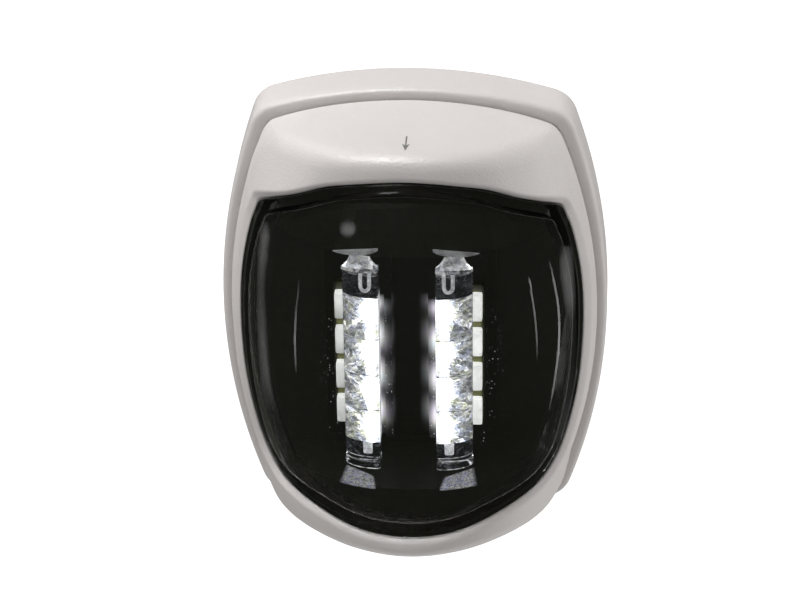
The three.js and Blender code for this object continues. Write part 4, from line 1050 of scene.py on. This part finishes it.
def stray_light(m, halo):
    """Light scattered sideways out of the bars onto the black parts behind them, with dust that catches it, over a
    faint even painted glow that lifts the whole black part.
    """
    sp = m.node("ShaderNodeSeparateXYZ")
    m.link(m.co, sp.inputs["Vector"])
    x, z = m.math("MULTIPLY", sp.outputs["X"], 1000.0), m.math("MULTIPLY", sp.outputs["Z"], 1000.0)
    left, right = m.math("MULTIPLY_ADD", x, -1.0, 0.0), m.math("ADD", x, 0.0)
    # painted light: a faint even emission over the whole part lifts its black
    even_glow_level = 0.0038
    total = m.math("ADD", m.map(m.noise(120, 2, 0.5), 0.3, 0.7, even_glow_level * 0.9, even_glow_level * 1.1), 0.0)
    if halo:
        wave = m.math("MULTIPLY_ADD", m.math("SINE", m.math("MULTIPLY_ADD", z, 0.86, 0.9)), 0.55, 0.75)
        span = m.math("MULTIPLY", m.map(z, 8.5, 6.5, 0, 1), m.map(z, -18.6, -15.2, 0, 1))
        for d, edge in ((left, 5.0), (right, 3.85)):
            far = m.math("SUBTRACT", edge, d)
            fall = m.math("EXPONENT", m.math("MULTIPLY", m.math("MAXIMUM", far, 0.0), -1.6))
            fall = m.math("MULTIPLY", fall, m.math("MULTIPLY", m.map(far, -1.3, -1.0, 0, 1), m.map(far, 2.6, 2.0, 0, 1)))
            total = m.math("MULTIPLY_ADD", m.math("MULTIPLY", m.math("MULTIPLY", fall, span), wave), 0.85, total)
    # dust specks, painted as glinting where the scattered light catches them
    vor = m.node("ShaderNodeTexVoronoi")
    vor.inputs["Scale"].default_value = 2300
    m.link(m.co, vor.inputs["Vector"])
    dot = m.map(vor.outputs["Distance"], 0.16, 0.24, 1, 0)
    pick = m.node("ShaderNodeSeparateColor")
    m.link(vor.outputs["Color"], pick.inputs["Color"])
    keep = m.map(pick.outputs["Red"], 0.60, 0.62, 0, 1)
    a_ = m.math("ABSOLUTE", x)
    band = m.math("ADD", m.math("MULTIPLY", m.map(a_, 11.6, 12.6, 0, 1), m.map(a_, 13.6, 16.5, 1, 0)), m.math("MULTIPLY", m.map(a_, 2.6, 3.6, 0, 1), m.map(a_, 4.6, 5.4, 1, 0)))
    patchy = m.map(m.noise(260, 2, 0.6), 0.40, 0.55, 0, 1)
    tall = m.math("MULTIPLY", m.map(z, 6, 1, 0, 1), m.map(z, -22, -18, 0, 1))
    dust = m.math("MULTIPLY", m.math("MULTIPLY", dot, keep), m.math("MULTIPLY", m.math("MULTIPLY", band, patchy), tall))
    total = m.math("MULTIPLY_ADD", m.math("MULTIPLY", dust, pick.outputs["Green"]), 0.9, total)
    return total, z


def add_glow(m, extra=None, extra_tint=None):
    total, z = stray_light(m, halo=extra is None)
    hue = m.noise(170, 2, 0.5)
    tint = m.ramp(hue, [(0.34, (0.86, 0.95, 1.0)), (0.47, (1.0, 0.98, 0.99)), (0.58, (0.90, 0.84, 1.0)), (0.70, (0.96, 1.0, 0.82))])
    tint = m.mix(m.map(total, 0.004, 0.012, 0, 1), (0.97, 1.0, 0.74), tint)
    if extra is not None:
        m.link(m.mix(m.map(extra, 0.0, 0.02, 0, 1), tint, extra_tint), m.bsdf.inputs["Emission Color"])
        total = m.math("ADD", total, extra)
    else:
        m.link(tint, m.bsdf.inputs["Emission Color"])
    m.link(total, m.bsdf.inputs["Emission Strength"])


add_glow(anodised)
add_glow(black, lit, patch_hue)


def dress(node, material):
    ob = frame["nodes"][node]
    if not ob.data.materials:
        ob.data.materials.append(material.m)
    for s in ob.material_slots:
        s.material = material.m
    return ob


for word in ("left", "right"):
    dress(f"led_board_{word}", led_mask)
for node, material in {
    "lens_seal": rubber, "skirt_seal": rubber, "cover_seal": rubber, "cable_gland": rubber, "inner_shroud": black, "led_carrier": anodised,
    "driver_board": driver_mask, "driver_chip": epoxy, "diode": epoxy, "resistor_1": epoxy, "resistor_2": epoxy, "inductor": ferrite,
    "input_capacitor": can, "output_capacitor": can, "output_connector": cream, "board_screw_1": stainless, "board_screw_2": stainless,
    "rear_cover": cover_black, "cover_screw_1": stainless, "cover_screw_2": stainless, "cover_screw_3": stainless, "cover_screw_4": stainless,
}.items():
    dress(node, material)

# ------------------------------------------------------------------ printed centreline arrow on the roof
def build_arrow():
    """Thin down arrow, printed on the slope of the roof."""
    pts = [(-0.12, 20.6), (0.12, 20.6), (0.12, 23.35), (0.62, 22.95), (0.0, 24.75), (-0.62, 22.95), (-0.12, 23.35)]
    dense = []
    for (x0, f0), (x1, f1) in zip(pts, pts[1:] + pts[:1]):
        dense += [(lerp(x0, x1, i / 6), lerp(f0, f1, i / 6)) for i in range(6)]
    top = []
    for x, f in dense:
        hit, loc, _, _ = housing.ray_cast((0.001 * (x - 0.1), -0.001 * f, 0.06), (0, 0, -1))
        top.append((x - 0.1, f, loc[2] * 1000 + 0.03))
    low = [(x, f, z - 0.2) for x, f, z in top]
    n = len(top)
    faces = [tuple(range(n)), tuple(range(2 * n - 1, n - 1, -1))] + [(i, n + i, n + (i + 1) % n, (i + 1) % n) for i in range(n)]
    return new_object("roof_arrow", world(top + low), faces, smooth=False)


ink = moulded("grey_ink", (0.16, 0.155, 0.15), (0.22, 0.215, 0.21), rough=(0.45, 0.6))

arrow = build_arrow()
arrow.data.materials.append(ink.m)
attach(arrow, "light_unit")

# ------------------------------------------------------------------ stage, camera and light
AZ, EL, ROLL = math.radians(4.0), math.radians(30.0), math.radians(0.8)
DIST, FOCAL_PX, AIM_U, AIM_V = 600.0, 3510.0, -2.98, -2.94


def make_camera():
    back = np.array([math.sin(AZ) * math.cos(EL), -math.cos(AZ) * math.cos(EL), math.sin(EL)])
    right = np.array([math.cos(AZ), math.sin(AZ), 0.0])
    up = np.cross(back, right)
    r2 = math.cos(ROLL) * right - math.sin(ROLL) * up
    u2 = math.sin(ROLL) * right + math.cos(ROLL) * up
    loc = (back * DIST + right * AIM_U + up * AIM_V) * 0.001
    cam = bpy.data.cameras.new("camera")
    cam.sensor_width = 36.0
    cam.lens = FOCAL_PX * 36.0 / 800.0
    cam.clip_start, cam.clip_end = 0.01, 50
    ob = bpy.data.objects.new("camera", cam)
    ob.matrix_world = Matrix(((r2[0], u2[0], back[0], loc[0]), (r2[1], u2[1], back[1], loc[1]), (r2[2], u2[2], back[2], loc[2]), (0, 0, 0, 1)))
    bpy.context.scene.collection.objects.link(ob)
    bpy.context.scene.camera = ob


make_camera()


def area(name, loc, aim, size, power, size_y=None, glossy=True, color=(1, 1, 1)):
    l = bpy.data.lights.new(name, "AREA")
    l.shape = "RECTANGLE"
    l.size, l.size_y = size, size_y or size
    l.energy = power
    l.color = color
    o = bpy.data.objects.new(name, l)
    o.location = loc
    o.rotation_euler = (Vector(aim) - Vector(loc)).to_track_quat("-Z", "Y").to_euler()
    o.visible_glossy = glossy
    o.visible_camera = False
    o.visible_transmission = False
    bpy.context.scene.collection.objects.link(o)
    return o


LIGHTS = [  # name, direction from the object, relative strength, seen in gloss
    ("top_left_back", (-0.57, 0.33, 0.75), 0.448, False),
    ("top", (-0.18, -0.16, 0.97), 0.302, True),
    ("right_back", (0.95, 0.29, 0.05), 0.426, False),
    ("under", (0.06, 0.13, -0.99), 0.512, False),
    ("left", (-0.99, -0.12, -0.03), 0.085, False),
    ("front", (-0.18, -0.97, 0.19), 0.03, False),
]
GAIN = 11.9
for name_, way, level_, seen_ in LIGHTS:
    way = Vector(way).normalized()
    area(name_, way * 1.0, (0, -0.01, 0), 0.5, GAIN * level_, 0.5, glossy=seen_)


# ------------------------------------------------------------------ thin studio cards, seen only as reflections in the lens
def camera_ray(px, py):
    m = bpy.context.scene.camera.matrix_world
    o, r = np.array(m.translation), np.array(m.to_3x3())
    d = unit(r @ v3((px - 400) / FOCAL_PX, -(py - 300) / FOCAL_PX, -1))
    return v3(o[0], -o[1], o[2]) * v3(1000, 1000, 1000), v3(d[0], -d[1], d[2])


def mirrored(px, py, reach=800.0, shell=None):
    """Where a camera ray through that point of the frame ends up after it bounces off the lens, and how much it loses."""
    o, d = camera_ray(px, py)
    flip = v3(1, -1, 1)
    shell = shell or lens
    hit, loc, _, face = shell.ray_cast(Vector(o * flip * 0.001), Vector(d * flip))
    if not hit:
        return o + d * 2000, 1.0
    me = shell.data
    poly = me.polygons[face]
    w = poly_3d_calc([me.vertices[i].co for i in poly.vertices], loc)
    n = Vector((0, 0, 0))
    for k, i in zip(w, poly.vertices):
        n += me.vertices[i].normal * k
    n = unit(np.array(n) * flip)
    p = np.array(loc) * flip * 1000
    c = max(0.02, -float(np.dot(d, n)))
    s2 = math.sqrt(1 - (1 - c * c) / 2.25)
    f = 0.5 * (((c - 1.5 * s2) / (c + 1.5 * s2)) ** 2 + ((1.5 * c - s2) / (1.5 * c + s2)) ** 2)
    return p + (d + 2 * c * n) * reach, f


def card(name, path, across):
    """A ribbon that the lens mirrors as a line through these points; across = [(offset, share of the level)]."""
    P = np.array([q[:2] for q in path], float)
    T = np.gradient(P, axis=0)
    T /= np.linalg.norm(T, axis=1)[:, None]
    verts, shine = [], []
    for (px, py, w, level_), (tx, ty) in zip(path, T):
        for off, share in across:
            q, f = mirrored(px - ty * off * w, py + tx * off * w)
            verts.append((q[0] * 0.001, -q[1] * 0.001, q[2] * 0.001))
            shine.append(level_ * share / f)
    k = len(across)
    faces = [(i * k + j, i * k + j + 1, (i + 1) * k + j + 1, (i + 1) * k + j) for i in range(len(path) - 1) for j in range(k - 1)]
    me = bpy.data.meshes.new(name)
    me.from_pydata(verts, [], faces)
    at = me.attributes.new("shine", "FLOAT", "POINT")
    at.data.foreach_set("value", np.array(shine, np.float32))
    ob = bpy.data.objects.new(name, me)
    bpy.context.scene.collection.objects.link(ob)
    me.materials.append(card_paper)
    for flag in ("visible_camera", "visible_diffuse", "visible_transmission", "visible_shadow", "visible_volume_scatter"):
        setattr(ob, flag, False)


card_paper = bpy.data.materials.new("card_paper")
card_paper.use_nodes = True
_nt = card_paper.node_tree
_nt.nodes.clear()
_at, _em, _out = _nt.nodes.new("ShaderNodeAttribute"), _nt.nodes.new("ShaderNodeEmission"), _nt.nodes.new("ShaderNodeOutputMaterial")
_at.attribute_name = "shine"
_nt.links.new(_at.outputs["Fac"], _em.inputs["Strength"])
_nt.links.new(_em.outputs[0], _out.inputs["Surface"])
SOFT = [(-1, 0), (-0.6, 0.6), (-0.2, 1), (0.2, 1), (0.6, 0.6), (1, 0)]
CRISP = [(-1, 1), (1, 1)]
# frame x, frame y, half-width, level
card("card_left_wide", [(265, 222, 4, .02), (265, 236, 6, .075), (263, 255, 6, .06), (261, 285, 5, .03), (261.5, 315, 5.5, .04), (263, 345, 6, .05), (265, 370, 6, .045), (267, 390, 7, .025), (271, 412, 6, .004)], SOFT)
card("card_left_line", [(299.5, 279, .5, .01), (298.4, 286, .8, .035), (297, 300, .9, .04), (295.6, 320, 1.0, .09), (294.9, 340, 1.1, .14), (295.4, 358, 1.0, .08), (296.4, 372, .7, .02)], CRISP)
card("card_right_line", [(528.6, 276, .5, .05), (529.6, 281, .9, .15), (532.7, 300, .9, .14), (535.4, 320, .9, .12), (536.7, 338, .9, .11), (537.1, 352, .8, .05), (537, 360, .5, .01)], CRISP)
card("card_right_curve", [(549.4, 260, .5, .03), (553.6, 280, 1.0, .16), (557.5, 300, 1.1, .17), (559.2, 320, 1.1, .2), (559.1, 340, 1.1, .22), (558.2, 355, 1.1, .2), (556.3, 370, 1.0, .17), (553.1, 390, .9, .12), (549, 410, .6, .02)], CRISP)
card("card_right_wide", [(566, 246, 7, .03), (566, 258, 8, .07), (567, 275, 8, .085), (569.5, 300, 7, .07), (571.5, 318, 6, .016), (572.5, 345, 6, .01), (571, 370, 6, .013), (568.5, 395, 6, .015), (565, 415, 6, .022), (560, 432, 5, .022), (552, 450, 5, .005)], SOFT)
card("card_blob", [(347.5, 219, 3, .0), (347.5, 223, 8, .04), (347.8, 227, 9.5, .09), (348.3, 231, 9.5, .11), (348.8, 234, 8, .07), (349, 238, 4, .0)], SOFT)
glint, _ = mirrored(375, 160, 900.0, housing)
spark = area("brow_glint", (glint[0] * 0.001, -glint[1] * 0.001, glint[2] * 0.001), (0, -0.025, 0.037), 0.22, 7.0, 0.04)
spark.visible_diffuse = False
card("card_top_dash", [(377.5, 193.5, .6, .02), (383, 193.2, .8, .11), (389, 193, .8, .14), (394, 192.6, .8, .10), (400, 192.2, .5, .03)], CRISP)

AMBIENT = 0.36
world_ = bpy.data.worlds.new("studio")
world_.use_nodes = True
nt = world_.node_tree
bg = nt.nodes["Background"]
lp = nt.nodes.new("ShaderNodeLightPath")
mx = nt.nodes.new("ShaderNodeMix")
mx.data_type = "RGBA"
mx.inputs[6].default_value = (0.03, 0.031, 0.026, 1)
mx.inputs[7].default_value = (AMBIENT, AMBIENT, AMBIENT, 1)
nt.links.new(lp.outputs["Is Diffuse Ray"], mx.inputs["Factor"])
my = nt.nodes.new("ShaderNodeMix")
my.data_type = "RGBA"
my.inputs[7].default_value = (1.0, 1.0, 1.0, 1)
nt.links.new(mx.outputs[2], my.inputs[6])
nt.links.new(lp.outputs["Is Camera Ray"], my.inputs["Factor"])
nt.links.new(my.outputs[2], bg.inputs["Color"])
bpy.context.scene.world = world_
bpy.context.scene.view_settings.view_transform = "Standard"

floor = new_object("floor", [(-6, -6, -1.1), (6, -6, -1.1), (6, 6, -1.1), (-6, 6, -1.1)], [(0, 1, 2, 3)], smooth=False)
fm = Mat("pale_floor")
fn = fm.noise(3, 3, 0.5)
lpf = fm.node("ShaderNodeLightPath")
pale = fm.mix(fm.map(fn, 0.3, 0.7, 0, 1), (0.93, 0.93, 0.93), (0.90, 0.90, 0.90))
fm.set(Base_Color=fm.mix(lpf.outputs["Is Glossy Ray"], pale, (0.05, 0.05, 0.05)), Roughness=0.9)
fm.bsdf.inputs["Specular IOR Level"].default_value = 0.1
fm.bsdf.inputs["Emission Color"].default_value = (1.0, 1.0, 1.0, 1)
fm.link(fm.math("MULTIPLY", lpf.outputs["Is Camera Ray"], 0.97), fm.bsdf.inputs["Emission Strength"])
floor.data.materials.append(fm.m)
for flag in ("visible_diffuse", "visible_glossy", "visible_transmission", "visible_shadow"):
    setattr(floor, flag, False)

bpy.context.view_layer.update()
